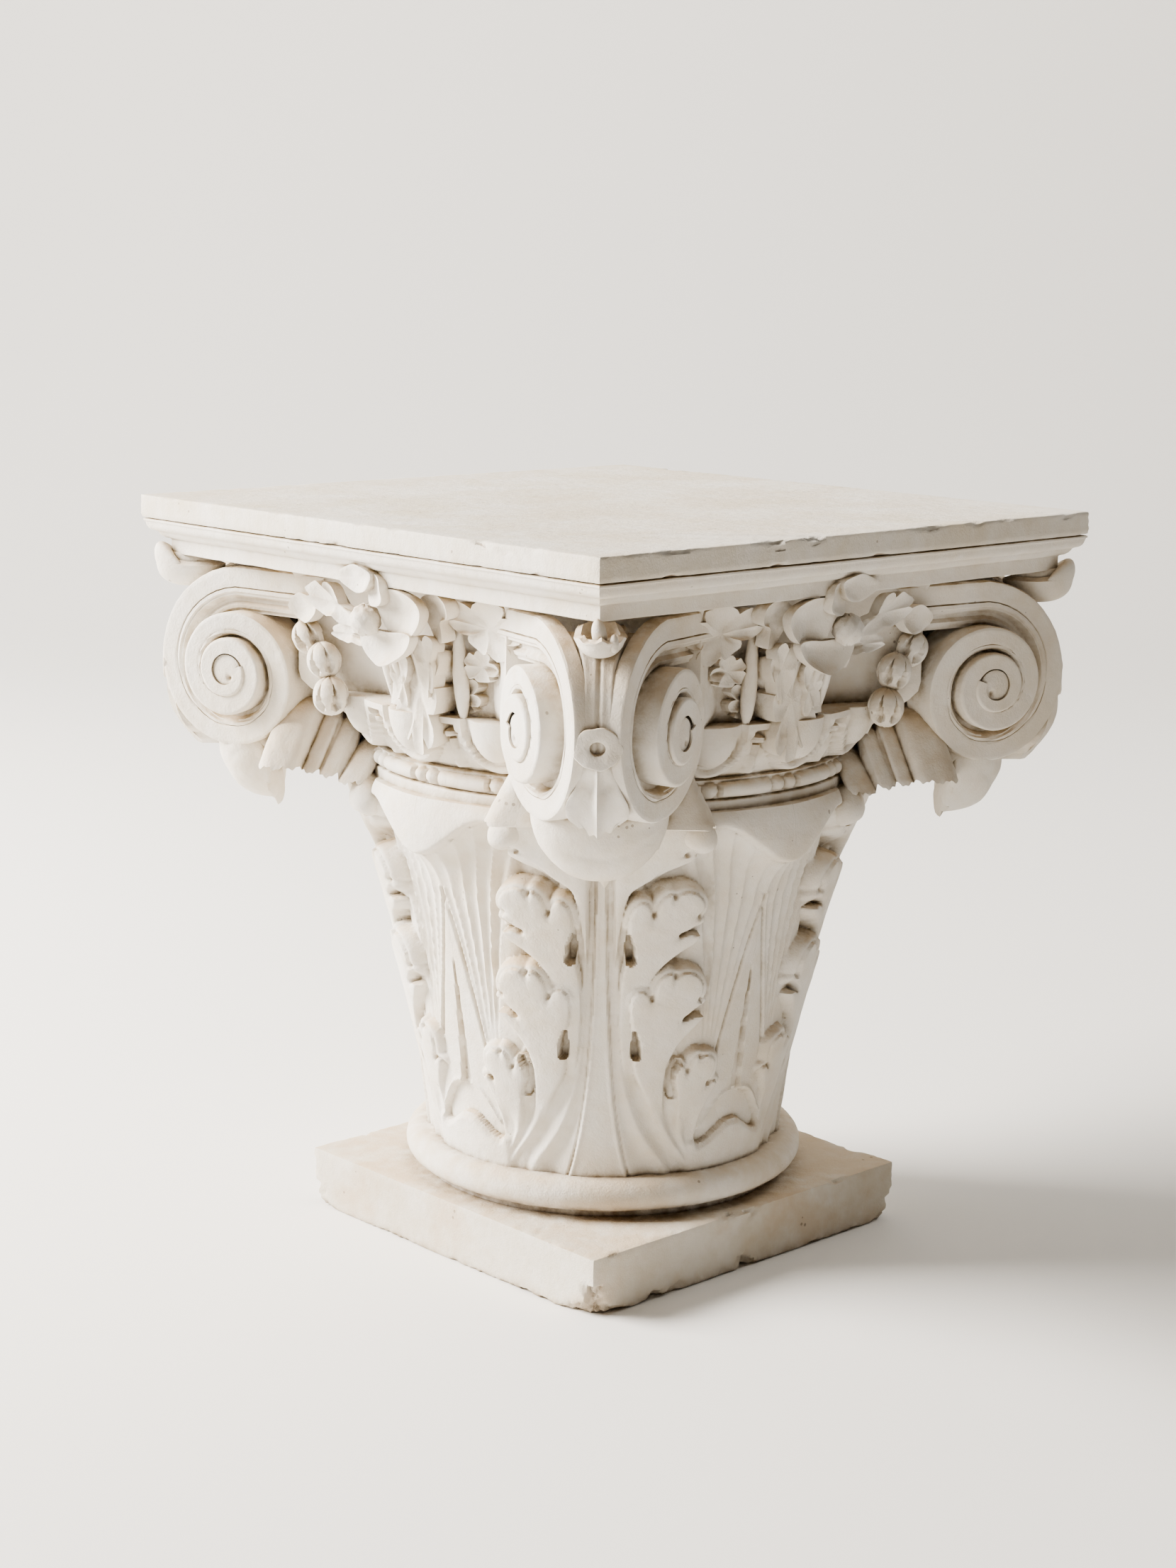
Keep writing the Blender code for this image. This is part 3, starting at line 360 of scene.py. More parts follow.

# The foot's hollows take the darkest colour at full share: dust and painted shade.
foot_plaster = cast_plaster("plaster_cast_soiled_foot", "e0dad0", "d0c4b0", "5d462c",
                            dust_and_shade_share=1.0, settled=0.35, stain="c4ad8c", stain_share=0.35)
capital_plaster = cast_plaster("plaster_cast_off_white", "e4dfd6", "d8cdbb", "84724f",
                               dust_and_shade_share=0.86, settled=0.6)


def round_ring(radius, z, count):
    """Adds the outline of a circle and leaves it open in edit mode."""
    deselect()
    bpy.ops.mesh.primitive_circle_add(vertices=count, radius=radius, location=(0, 0, z))
    bpy.ops.object.transform_apply()
    open_mesh(bpy.context.object)


def apply_modifier(piece, kind, **settings):
    pick(piece)
    modifier = piece.modifiers.new(kind.lower(), kind)
    for key, value in settings.items():
        setattr(modifier, key, value)
    bpy.ops.object.modifier_apply(modifier=modifier.name)


def finish_casting(piece, wave, breadth, sharp, material=capital_plaster):
    """Gives a piece of the capital the slight waviness of a cast surface, as deep as wave and as wide as
    breadth, and its paint."""
    cloud = bpy.data.textures.new("cast_waviness", "CLOUDS")
    cloud.noise_scale = breadth
    cloud.noise_depth = 2
    apply_modifier(piece, "DISPLACE", texture=cloud, texture_coords="LOCAL", strength=wave, mid_level=0.5)
    place_piece(piece, "capital", material, sharp)


low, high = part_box("capital")
foot_z = low[2]
torus_z = foot_z + FILLET_HEIGHT
bell_z = torus_z + TORUS_HEIGHT
levels = [(FOOT_UNDERSIDE_RADIUS, foot_z), (FILLET_RADIUS, foot_z), (FILLET_RADIUS, torus_z - 0.0004)]
half = TORUS_HEIGHT / 2
for step in range(25):
    turn = -pi / 2 + pi * step / 24
    levels.append((TORUS_RADIUS - half + half * cos(turn), torus_z + half + half * sin(turn)))
levels.append((FOOT_TOP_RADIUS, bell_z))
round_ring(*levels[0], ROUND_POINTS)
foot = raise_ring(levels, "capital_foot")
finish_casting(foot, wave=0.0008, breadth=0.02, sharp=60, material=foot_plaster)

# Bell. The flared drum with four acanthus leaves on the corners and four plain leaves on the faces,
# modelled in clay and cast in one; each leaf's lobes lift off the drum towards their scalloped rims.
BELL_FOOT_RADIUS = 0.149
BELL_LIP_RADIUS = 0.203
BELL_HEIGHT = 0.322
BELL_BACK = 0.085
# A quarter of the bell with a little overlap, in degrees to each side of a corner, and its top share.
BELL_HALF_ANGLE = 45.2
BELL_TOP_SHARE = 101
LEAF_COLUMNS = 220
LEAF_ROWS = 228
STEM_FOOT_HALF = 0.0205
STEM_HEAD_HALF = 0.0030
STEM_TAPER = 24.0
STEM_RELIEF = 0.0095
SHEATH_RELIEF = 0.0075
# A sheath's rim rounds off over this many degrees.
SHEATH_RIM = 1.6
CHANNEL_DEPTH = 0.0040
CLIFF = 0.0022
PILLOW = 0.011
ROOF = 0.0075
# Ridges that run up a half leaf from its foot, and its outer edge: degrees from the leaf's middle at
# heights in hundredths of the bell's height. Between them the leaf is hollowed into channels.
RIDGE_HEIGHTS = [-2, 2, 10, 15, 22, 30, 45, 60, 80, 101]
RIDGES = [
    [20.9, 20.4, 14.0, 10.9, 8.0, 6.1, 4.7, 4.3, 4.0, 3.8],
    [29.3, 28.4, 22.0, 18.9, 15.4, 12.6, 9.0, 7.2, 6.6, 6.0],
    [31.0, 30.2, 25.8, 24.6, 22.6, 20.5, 14.0, 9.5, 8.5, 7.5],
    [32.4, 32.0, 31.0, 32.0, 32.5, 26.0, 17.0, 12.0, 10.5, 9.0],
]
# The lobes of a half leaf, from the foot up: the height where each starts to lift, the height of its
# rim, its relief at foot and rim, and its outline in the same degrees and hundredths.
LOBES = [
    (10, 35, 0.0085, 0.0175, [
        (23.6, 10), (23.0, 17), (22.4, 23), (21.2, 27), (21.5, 30.4), (22.8, 31.9), (24.3, 31.2),
        (25.2, 29.4), (25.7, 32.2), (26.9, 33.9), (28.0, 34.4), (28.6, 33.4), (29.6, 33.9), (31.8, 33.6),
        (33.5, 32.4), (34.1, 30.4), (33.7, 27.8), (32.3, 25.0), (34.0, 26.1), (35.9, 24.9), (34.9, 22.6),
        (33.2, 19.4), (31.6, 15.0), (30.8, 9.0), (30.6, -2), (27.6, -2), (26.0, 5),
    ]),
    (14, 58, 0.0085, 0.0225, [
        (17.0, 14), (13.4, 22), (10.2, 28), (8.8, 34), (8.6, 40), (7.6, 46), (7.5, 50.6), (8.8, 53.0),
        (10.9, 53.4), (12.6, 52.2), (13.3, 50.8), (13.6, 54.2), (15.0, 57.0), (17.0, 58.4), (18.2, 58.2),
        (18.9, 57.0), (20.0, 58.0), (22.6, 58.2), (25.2, 56.8), (26.9, 54.0), (27.1, 51.4), (26.2, 50.0),
        (27.7, 48.8), (25.6, 47.2), (22.6, 44.4), (25.4, 45.3), (28.7, 44.9), (26.4, 42.0), (23.4, 38.8),
        (21.2, 35.6), (19.6, 31.8), (19.0, 27.0), (19.4, 20), (21.5, 12), (24.5, 4), (22.0, 6),
    ]),
    (26, 80, 0.0085, 0.0245, [
        (8.2, 24), (5.8, 34), (4.8, 44), (4.9, 55), (6.0, 62), (6.2, 68), (6.2, 72.6), (7.1, 76.2),
        (8.8, 78), (10.6, 77.9), (11.9, 76.0), (12.4, 74), (12.8, 76.8), (14.0, 79.2), (15.8, 80.5),
        (16.6, 80.2), (17.0, 79.2), (17.9, 80.4), (20.2, 80.8), (22.8, 79.6), (24.5, 77.2), (24.7, 75.0),
        (23.5, 73.4), (24.5, 71.8), (22.4, 70.0), (19.4, 68.2), (21.8, 68.8), (25.0, 67.8), (23.2, 65.2),
        (19.8, 63.0), (16.4, 60.0), (13.6, 56.2), (12.0, 50), (10.6, 42), (11.0, 34), (12.6, 27),
        (11.0, 22),
    ]),
    (54, 95, 0.0085, 0.0290, [
        (3.6, 52), (4.4, 62), (5.4, 72), (6.8, 79.4), (9.0, 81.8), (11.6, 83.8), (14.4, 86.6), (17.4, 88.2),
        (20.2, 89.8), (18.4, 90.8), (21.2, 91.8), (23.6, 94.2), (21.8, 96.6), (18.5, 98.6), (13.0, 101),
        (3.4, 101),
    ]),
]
# Creases from the nicks of a rim down into the lobe.
CREASES = [
    [(25.2, 29.8), (25.1, 27), (24.9, 23)],
    [(28.5, 33.6), (28.3, 31), (28.0, 26)],
    [(32.4, 25.4), (31.4, 23), (30.4, 19)],
    [(13.3, 51.4), (13.5, 48), (13.7, 43)],
    [(18.8, 57.4), (18.5, 54), (17.8, 48)],
    [(26.4, 50.2), (24.8, 48.4), (22.8, 45.6)],
    [(23.0, 44.8), (21.8, 43), (20.4, 40)],
    [(12.4, 74.4), (12.2, 71.5), (11.8, 67)],
    [(16.9, 79.4), (16.5, 76), (15.5, 71)],
    [(23.6, 73.5), (21.8, 72), (19.6, 69.4)],
    [(19.7, 68.5), (18.2, 66.6), (16.4, 63.6)],
    [(18.6, 90.8), (15.0, 89.6), (9.0, 86)],
]
CREASE_DEPTH = 0.0026
CREASE_WIDTH = 0.0018
# Holes drilled under a thumb of a lobe, as runs of degrees, height and half-width.
LEAF_HOLES = [
    [(10.0, 34.6, 0.0036), (9.8, 38, 0.0034), (9.4, 41.6, 0.0012)],
    [(7.5, 61.4, 0.0036), (7.2, 65, 0.0034), (6.9, 68.4, 0.0012)],
    [(21.4, 22.6, 0.0034), (20.3, 26.4, 0.0034), (20.5, 29.6, 0.0030), (22.4, 32.4, 0.0022)],
]
HOLE_DEPTH = -0.006


def bell_radius(z):
    """The bell flares slowly at first, then faster towards its lip."""
    rise = (z - bell_z) / BELL_HEIGHT
    return BELL_FOOT_RADIUS + (BELL_LIP_RADIUS - BELL_FOOT_RADIUS) * (0.72 * rise + 0.28 * rise ** 3)


def rounded(depth):
    """A quarter-round edge: 0 outside, rising to 1 where the depth reaches 1."""
    inside = np.clip(depth, 0, 1)
    return np.sqrt(1 - (1 - inside) ** 2)


def eased(share):
    """A smooth step from 0 to 1."""
    share = np.clip(share, 0, 1)
    return share * share * (3 - 2 * share)


def soft_line(distance, width):
    """The rounded section of a bead or a groove: 1 on its line, falling to 0 on both sides."""
    return np.exp(-(distance / width) ** 2)


def on_sheet(angle, share):
    """A place on the unrolled bell: arc length from the middle of the leaf, and height, in metres."""
    z = bell_z + np.asarray(share) / 100 * BELL_HEIGHT
    return np.radians(angle) * bell_radius(z), z


def smooth_run(points, closed, parts=3):
    """A smooth run through its points."""
    count = len(points)
    result = []
    for i in range(count if closed else count - 1):
        ends = [(i + k) % count if closed else min(max(i + k, 0), count - 1) for k in (-1, 0, 1, 2)]
        a, b, c, d = (np.array(points[k], float) for k in ends)
        for step in range(parts):
            t = step / parts
            result.append(0.5 * (2 * b + (c - a) * t + (2 * a - 5 * b + 4 * c - d) * t ** 2
                                 + (3 * b - a - 3 * c + d) * t ** 3))
    if not closed:
        result.append(np.array(points[-1], float))
    return np.array(result)


def distance_to(x, z, low, high):
    """Distance of each place from a straight run, and how far along the run its nearest point lies."""
    run_x, run_z = high[0] - low[0], high[1] - low[1]
    along = np.clip(((x - low[0]) * run_x + (z - low[1]) * run_z) / (run_x ** 2 + run_z ** 2), 0, 1)
    return np.hypot(x - low[0] - along * run_x, z - low[1] - along * run_z), along


def depth_inside(x, z, outline):
    """Distance inside a closed outline, negative outside it."""
    away = np.full(x.shape, 1.0)
    inside = np.zeros(x.shape, bool)
    points = list(zip(*on_sheet(*outline.T)))
    for low, high in zip(points, points[1:] + points[:1]):
        away = np.minimum(away, distance_to(x, z, low, high)[0])
        if low[1] != high[1]:
            crossing = low[0] + (z - low[1]) / (high[1] - low[1]) * (high[0] - low[0])
            inside ^= ((z < low[1]) != (z < high[1])) & (x < crossing)
    return np.where(inside, away, -away)


def channelled(angle, edges, relief, depth):
    """A sheath hollowed between ridges; its outermost edge falls away."""
    height = np.zeros(angle.shape)
    for low, high in zip(edges, edges[1:]):
        width = np.maximum(high - low, 0.01)
        across = (angle - low) / width
        hollow = np.minimum(depth, np.radians(width) * 0.17 * 0.24)
        within = (across >= 0) & (across <= 1)
        height = np.where(within, relief - hollow * np.sin(np.clip(across, 0, 1) * pi) ** 1.5, height)
    return np.where(angle < edges[0], relief, height)


def acanthus_relief(angle, share):
    """Height of an acanthus leaf over the bell, at an angle in degrees from its middle."""
    angle = np.abs(angle)
    x, z = on_sheet(angle, share)
    half = STEM_HEAD_HALF + STEM_FOOT_HALF * np.exp(-share / STEM_TAPER)
    edges = [np.degrees(half / bell_radius(z))]
    for ridge in RIDGES:
        heights, degrees = smooth_run(list(zip(RIDGE_HEIGHTS, ridge)), False, 6).T
        edges.append(np.interp(share, heights, degrees))
    height = channelled(angle, edges, SHEATH_RELIEF, CHANNEL_DEPTH)
    height = height * rounded((edges[-1] - angle) / SHEATH_RIM)
    # Each lobe is a pillow with a steep edge, and a roof slopes back to the bell from its overhanging rim.
    for lift, rim, foot_relief, rim_relief, outline in LOBES:
        depth = depth_inside(x, z, smooth_run(outline, True))
        raised = np.clip((share - lift) / (rim - lift), 0, 1) ** 1.3
        lobe = foot_relief + (rim_relief - foot_relief) * raised
        pillow = 1 - 0.15 * (1 - rounded(depth / PILLOW)) * np.clip(raised * 2.5, 0.15, 1)
        roof = lobe * 0.80 * (1 - np.clip(-depth / ROOF, 0, 1) ** 2.2)
        roof = roof * eased((share - rim + 14) / 6)
        lobe = np.maximum(lobe * pillow * rounded(depth / CLIFF), roof)
        height = height + (np.maximum(height, lobe) - height) * eased((share - lift) / 9)
    for crease in CREASES:
        points = list(zip(*on_sheet(*smooth_run(crease, False).T)))
        away = np.full(x.shape, 1.0)
        shallow = np.ones(x.shape)
        for i, (low, high) in enumerate(zip(points, points[1:])):
            gap, along = distance_to(x, z, low, high)
            nearer = gap < away
            shallow = np.where(nearer, 1 - (i + along) / (len(points) - 1), shallow)
            away = np.minimum(away, gap)
        height = height - CREASE_DEPTH * shallow ** 3.2 * soft_line(away, CREASE_WIDTH) * (height > 0.003)
    for hole in LEAF_HOLES:
        for low, high in zip(hole, hole[1:]):
            away, along = distance_to(x, z, on_sheet(*low[:2]), on_sheet(*high[:2]))
            width = low[2] + (high[2] - low[2]) * along
            height = height + (HOLE_DEPTH - height) * eased((width * 1.15 - away) / 0.0012)
    beside = 0.0021 * soft_line(x - half - 0.0012, 0.0011)
    bead = 0.0008 * soft_line(x - half + 0.0016, 0.0012) * (share < 95)
    return np.where(x < half, STEM_RELIEF - 0.0012 + bead, height - beside)


# The plain leaf: its tent of two grooves, the narrow sunk wedge in the middle, a waved hollow moulding
# below, and hollow flutes that fan out under the rolled tip.
WAVE_ANGLES = [0, 3, 6, 9, 11, 12.6, 13.8, 14.6]
WAVE_TOP = [20.4, 20.6, 19.4, 16.8, 14.2, 12.2, 11.2, 9.6]
WAVE_LOW = [12.6, 12.2, 10.4, 8.6, 7.8, 7.4, 7.9, 9.4]
FLUTES = 5


def plain_relief(angle, share):
    """Height of a plain leaf over the bell, at an angle in degrees from its middle."""
    angle = np.abs(angle)
    height = 0.0052 * rounded((24.5 - angle) / 5)
    tent = np.interp(share, [21, 74], [12.4, 0.0])
    edge = np.interp(share, [20, 40, 60, 80, 92, 101], [14.0, 15.0, 17.0, 20.5, 24.0, 27.0])
    spread = np.clip((angle - tent) / np.maximum(edge - tent, 0.5), 0, 1)
    flute = (spread * FLUTES) % 1
    depth = 0.0050 * eased((share - 26) / 45) * (0.30 + 0.70 * spread)
    height = height - depth * (1 - (2 * flute - 1) ** 2) * (angle > tent) * (spread < 1)
    beside_tent = (share > 20) & (share < 76)
    height = height - 0.0034 * soft_line(angle - tent, 0.42) * beside_tent
    height = height + 0.0012 * soft_line(angle - tent - 1.0, 0.5) * beside_tent
    wedge = np.interp(share, [19.5, 56], [2.3, 0.25])
    height = height - 0.0060 * eased((wedge - angle) / 0.30) * (share > 19.6) * (share < 56)
    low = np.interp(angle, WAVE_ANGLES, WAVE_LOW)
    top = np.interp(angle, WAVE_ANGLES, WAVE_TOP)
    within = np.clip((top - share) / np.maximum(top - low, 0.2), 0, 1)
    sunk = 0.0050 + 0.0110 * within
    inside = eased((top - share) / 0.30) * eased((share - low) / 0.50) * (angle < WAVE_ANGLES[-1])
    height = height - sunk * inside
    swelling = 0.0034 * eased((low - share) / 2.0) * (share < low) * eased((19 - angle) / 4)
    bead = 0.0018 * soft_line(share - top - 0.8, 0.55) * (angle < 13.5)
    return height + swelling + bead


def tip_edge(angle):
    """Height of the hanging edge of a plain leaf's rolled tip, lowest in the leaf's middle."""
    return 85.5 + 11.3 * eased(np.abs(angle) / 19.0)


def plain_tip_relief(angle, share):
    """The tip of a plain leaf flares outwards and rolls over as a lip that hangs lowest at its middle."""
    low = tip_edge(angle)
    reach = 0.0300 * (1 - 0.35 * eased(np.abs(angle) / 20))
    flare = 0.60 * np.exp(-np.clip(low - share, 0, None) / 4.6)
    lip = 0.60 + 0.40 * rounded((share - low) / 1.1)
    lip = lip * (1 - 0.55 * np.clip((share - low) / (102.0 - low), 0, 1) ** 1.8)
    return reach * np.where(share < low, flare, lip) * rounded((23.0 - np.abs(angle)) / 3.5)


def wrapped_grid(name, columns, rows, shape):
    """A grid laid over a form: shape takes arrays from 0 to 1 across and up, and gives places."""
    deselect()
    bpy.ops.mesh.primitive_grid_add(x_subdivisions=columns, y_subdivisions=rows, size=1)
    piece = named(bpy.context.object, name)
    flat = vertices_of(piece)
    set_vertices(piece, np.stack(shape(flat[:, 0] + 0.5, flat[:, 1] + 0.5), 1))
    return piece


def carved_bell(u, v):
    angle = u * 2 * BELL_HALF_ANGLE - BELL_HALF_ANGLE
    share = v * BELL_TOP_SHARE
    z = bell_z + share / 100 * BELL_HEIGHT
    face_angle = 45 - np.abs(angle)
    relief = np.maximum(plain_relief(face_angle, share), acanthus_relief(angle, share))
    fluted = plain_relief(face_angle, share) * (1 - eased((share - tip_edge(face_angle) + 0.6) / 1.2))
    relief = np.maximum(relief, fluted + plain_tip_relief(face_angle, share))
    radius = bell_radius(z) + relief
    turn = np.radians(angle)
    return radius * np.cos(turn), radius * np.sin(turn), z


def close_behind(piece, depth, axis=0):
    """Draws the rim of a carved sheet back to an upright plane across an axis and closes it there."""
    open_mesh(piece)
    select_rim()
    bpy.ops.mesh.extrude_region_move()
    flat = [float(k != axis) for k in range(3)]
    bpy.ops.transform.resize(value=flat, center_override=[depth * (k == axis) for k in range(3)])
    bpy.ops.mesh.edge_face_add()
    close_mesh()


CORNERS = [radians(45 + 90 * quarter) for quarter in range(4)]


def turned_copies(piece, places):
    """Copies a piece made on the +X side round the axis, each copy with its own mesh. A place is an angle,
    or an angle and -1 for a copy that is mirrored from left to right first."""
    copies = []
    for count, place in enumerate(places):
        angle, hand = place if isinstance(place, tuple) else (place, 1)
        twin = piece if count == len(places) - 1 else piece.copy()
        if twin is not piece:
            twin.data = piece.data.copy()
            bpy.context.scene.collection.objects.link(twin)
        twin.name = f"{piece.name.split('.')[0]}_{count + 1}"
        twin.data.transform(Matrix.Rotation(angle, 4, "Z") @ Matrix.Diagonal((1, hand, 1, 1)))
        if hand < 0:
            twin.data.flip_normals()
        copies.append(twin)
    return copies


bell = wrapped_grid("leaf_bell", LEAF_COLUMNS, LEAF_ROWS, carved_bell)
close_behind(bell, BELL_BACK)
for piece in turned_copies(bell, CORNERS):
    finish_casting(piece, wave=0.0007, breadth=0.018, sharp=48)

# Acanthus tips. Each leaf's tip leaves the bell, runs out under the volutes and hangs there as a smooth
# closed bowl with a torn end; fluted skirts with broken feet fall on both sides of it, and a rolled finger.
BOWL_OUT = 0.300
BOWL_Z = 0.415
BOWL_HALF_WIDTH = 0.0535
BOWL_FULLNESS = 2.6
# The bowl's radius round its middle by direction in degrees, 0 being outwards and 90 up.
BOWL_TURNS = [-180, -150, -134, -122, -112, -105, -98, -88, -63, -20, 0, 21, 45, 90, 180]
BOWL_RADII = [0.030, 0.021, 0.013, 0.022, 0.031, 0.037, 0.0385, 0.0375, 0.037, 0.037, 0.041, 0.044, 0.036,
              0.025, 0.030]
TORN_TURNS = (-135, -98)
# Near and far side of each flute from the axis, and its foot and head.
SKIRT_FLUTES = [(0.196, 0.222, 0.407, 0.440), (0.222, 0.238, 0.412, 0.457), (0.238, 0.253, 0.415, 0.462),
                (0.253, 0.290, 0.419, 0.474)]
SKIRT_HEAD = 0.046
SKIRT_SPREAD = 0.031
SKIRT_FULLNESS = 0.72
SKIRT_GROOVE = 0.0022
# The skirts are drawn back just past the leaf's middle plane.
SKIRT_BACK = -0.002
FINGER = (0.204, 0.072, 0.397)
FINGER_HALVES = (0.016, 0.021, 0.0155)


def bowl_shape(x, y, z):
    direction = np.degrees(np.arctan2(y, x))
    fullness = np.clip(1 - np.abs(z) ** BOWL_FULLNESS, 0, 1) ** (1 / BOWL_FULLNESS)
    radius = np.interp(direction, BOWL_TURNS, BOWL_RADII) * fullness
    torn = (direction > TORN_TURNS[0]) & (direction < TORN_TURNS[1])
    radius = radius * np.where(torn, 1 + 0.22 * np.sin(z * 17) * np.abs(np.sin(z * 41 + 1)), 1)
    turn = np.radians(direction)
    rise = 0.020 * z ** 2
    return BOWL_OUT + radius * np.cos(turn), BOWL_HALF_WIDTH * z, BOWL_Z + rise + radius * np.sin(turn)


def skirt(u, v):
    flutes = np.array(SKIRT_FLUTES)
    along = flutes[0, 0] + (flutes[-1, 1] - flutes[0, 0]) * u
    near, far, foot, head = flutes[np.clip(np.searchsorted(flutes[:, 1], along, side="right"), 0, 3)].T
    half = (far - near) / 2
    across = np.clip((along - near) / half - 1, -1, 1)
    arch = np.sqrt(1 - across ** 2)
    top = head - half * 0.8 * (1 - arch)
    broken = foot + 0.0013 * np.sin(along * 430) + 0.0007 * np.sin(along * 1130 + 1)
    z = broken + (top - broken) * v
    fall = np.clip((head - z) / (head - foot), 0, 1)
    section = (1 - np.abs(across) ** 3.2) ** 0.5
    bulge = half * SKIRT_FULLNESS * section * rounded((top - z) / (half * 0.9) + 0.04)
    groove = SKIRT_GROOVE * (1 - section) ** 2
    return along - 0.010 + 0.018 * fall, SKIRT_HEAD + SKIRT_SPREAD * fall ** 0.9 + bulge - groove, z


def finger_shape(x, y, z):
    """A rolled finger of the leaf, its outer end lower and thicker than its root."""
    swell = 1 + 0.18 * y
    droop = 0.007 * y - 0.0020 * np.sin(x * 5) * (1 - y ** 2)
    return (FINGER[0] + FINGER_HALVES[0] * x * swell, FINGER[1] + FINGER_HALVES[1] * y,
            FINGER[2] + FINGER_HALVES[2] * z * swell - droop)


def pulled_ball(name, segments, rings, shape):
    """A closed ball pulled into a form: shape takes the ball's x, y, z from -1 to 1 and gives places."""
    deselect()
    bpy.ops.mesh.primitive_uv_sphere_add(segments=segments, ring_count=rings, radius=1)
    piece = named(bpy.context.object, name)
    set_vertices(piece, np.stack(shape(*vertices_of(piece).T), 1))
    return piece


def join_pieces(pieces, name):
    pick(pieces[0])
    for piece in pieces:
        piece.select_set(True)
    bpy.ops.object.join()
    return named(pieces[0], name)


def face_outwards(piece):
    open_mesh(piece)
    close_mesh()


parts = [pulled_ball("acanthus_tip", 108, 36, bowl_shape)]
for side in (1, -1):
    curtain = wrapped_grid("skirt", 96, 18, skirt)
    close_behind(curtain, SKIRT_BACK, 1)
    curtain.data.transform(Matrix.Diagonal((1, side, 1, 1)))
    finger = pulled_ball("finger", 24, 16, finger_shape)
    finger.data.transform(Matrix.Diagonal((1, side, 1, 1)))
    parts += [curtain, finger]
tip = join_pieces(parts, "acanthus_tip")
face_outwards(tip)
for piece in turned_copies(tip, CORNERS):
    finish_casting(piece, wave=0.0014, breadth=0.014, sharp=50)

# Echinus and astragal. A ring of reels and beads under a quarter-round that is carved with eggs, cut
# flat on top, and boxed darts; all of it is cast with the bell.
EGG_PITCH = radians(22.5)
EGG_COLUMNS = 28
ASTRAGAL_MIDDLE = 0.4275
ASTRAGAL_RADIUS = 0.2062
# Radii at which the lengths along the astragal and along the echinus are measured.
ASTRAGAL_ARC = 0.206
EGG_ARC = 0.231
REEL_HALF = 0.0262
BEAD_RADIUS = 0.0066
BEAD_OFFSET = 0.0070
EGG_TOP = 0.4853
EGG_RADIUS = 0.2215
EGG_SWELL = 0.0190
# Half width and height of each egg, and of the shell round it.
EGG_OVAL = (0.0255, 0.0365)
SHELL_OVAL = (0.0375, 0.0470)
DART_BEAD = 0.0042
DART_BEAD_Z = 0.4712
DART_BEAD_OUT = 0.2265
# The ring's section: share of the way up, radius and height.
RING_RUN = [
    (0.0, 0.197, 0.4065), (0.02, 0.2078, 0.4078), (0.04, 0.2090, 0.4088), (0.11, 0.2092, 0.4184),
    (0.13, 0.2080, 0.4196), (0.16, 0.2046, 0.4200), (0.18, 0.2044, 0.4208), (0.40, 0.2044, 0.4342),
    (0.42, 0.2060, 0.4348), (0.50, 0.2150, 0.4415), (0.60, 0.2215, 0.4520), (0.72, 0.2265, 0.4650),
    (0.84, 0.2300, 0.4785), (0.90, 0.2305, 0.4846), (0.92, 0.2298, 0.4853), (1.0, 0.190, 0.4853),
]


def carved_ring(u, v):
    angle = u * 2 * pi
    along = ((angle / EGG_PITCH) + 0.5) % 1 - 0.5
    run = np.array(RING_RUN)
    radius = np.interp(v, run[:, 0], run[:, 1])
    z = np.interp(v, run[:, 0], run[:, 2])
    # Reels lie under the darts, and a pair of beads lies under each egg.
    arc = along * EGG_PITCH * ASTRAGAL_ARC
    from_reel = np.abs(np.abs(arc) - EGG_PITCH * ASTRAGAL_ARC / 2)
    reel = BEAD_RADIUS * rounded((REEL_HALF - from_reel) / 0.005)
    bead = np.sqrt(np.clip(BEAD_RADIUS ** 2 - (np.abs(arc) - BEAD_OFFSET) ** 2, 0, None))
    size = np.maximum(reel, bead)
    round_bar = np.sqrt(np.clip(size ** 2 - (z - ASTRAGAL_MIDDLE) ** 2, 0, None))
    on_astragal = (v > 0.17) & (v < 0.42)
    radius = np.where(on_astragal, np.maximum(radius, ASTRAGAL_RADIUS + round_bar), radius)
    # Egg, shell and boxed dart, each above the one outside it.
    y = along * EGG_PITCH * EGG_ARC
    drop = EGG_TOP + 0.001 - z
    egg = (y / EGG_OVAL[0]) ** 2 + (drop / EGG_OVAL[1]) ** 2
    shell = (y / SHELL_OVAL[0]) ** 2 + (drop / SHELL_OVAL[1]) ** 2
    ground = radius - 0.0075 * eased((shell - 0.98) / 0.06)
    rim = radius + 0.0030 * eased((1.0 - shell) / 0.05) - 0.0016 * soft_line(shell - 0.80, 0.035)
    rim = rim - 0.0050 * eased((1.36 - egg) / 0.22)
    carved = np.where(shell < 1.0, rim, ground)
    lid = (drop < 0.0075) & (egg > 1.28)
    carved = np.where(lid, radius + 0.0030, carved)
    from_dart = EGG_PITCH * EGG_ARC / 2 - np.abs(y)
    bead_drop = np.sqrt(np.clip(DART_BEAD ** 2 - from_dart ** 2 - (z - DART_BEAD_Z) ** 2, 0, None))
    carved = np.maximum(carved, np.where(bead_drop > 0, DART_BEAD_OUT + bead_drop, 0))
    dart = 0.0060 - from_dart * np.interp(z, [0.444, 0.466], [0.85, 2.6])
    on_dart = (z > 0.440) & (z < 0.4665) & (dart > 0)
    carved = np.where(on_dart, np.maximum(carved, radius - 0.0065 + np.minimum(dart, 0.0052)), carved)
    swell = EGG_SWELL * np.sqrt(np.clip(1 - egg, 0, 1))
    carved = np.where(egg < 1, np.maximum(EGG_RADIUS + swell, carved), carved)
    on_echinus = (v > 0.44) & (v < 0.905)
    radius = np.where(on_echinus, carved, radius)
    # The eggs are cut flat on top.
    lip = np.interp(v, [0.905, 0.92], [1.0, 0.9])
    top_edge = (v >= 0.905) & (v <= 0.93) & (egg < 1)
    radius = np.where(top_edge, EGG_RADIUS + swell * lip, radius)
    return radius * np.cos(angle), radius * np.sin(angle), z


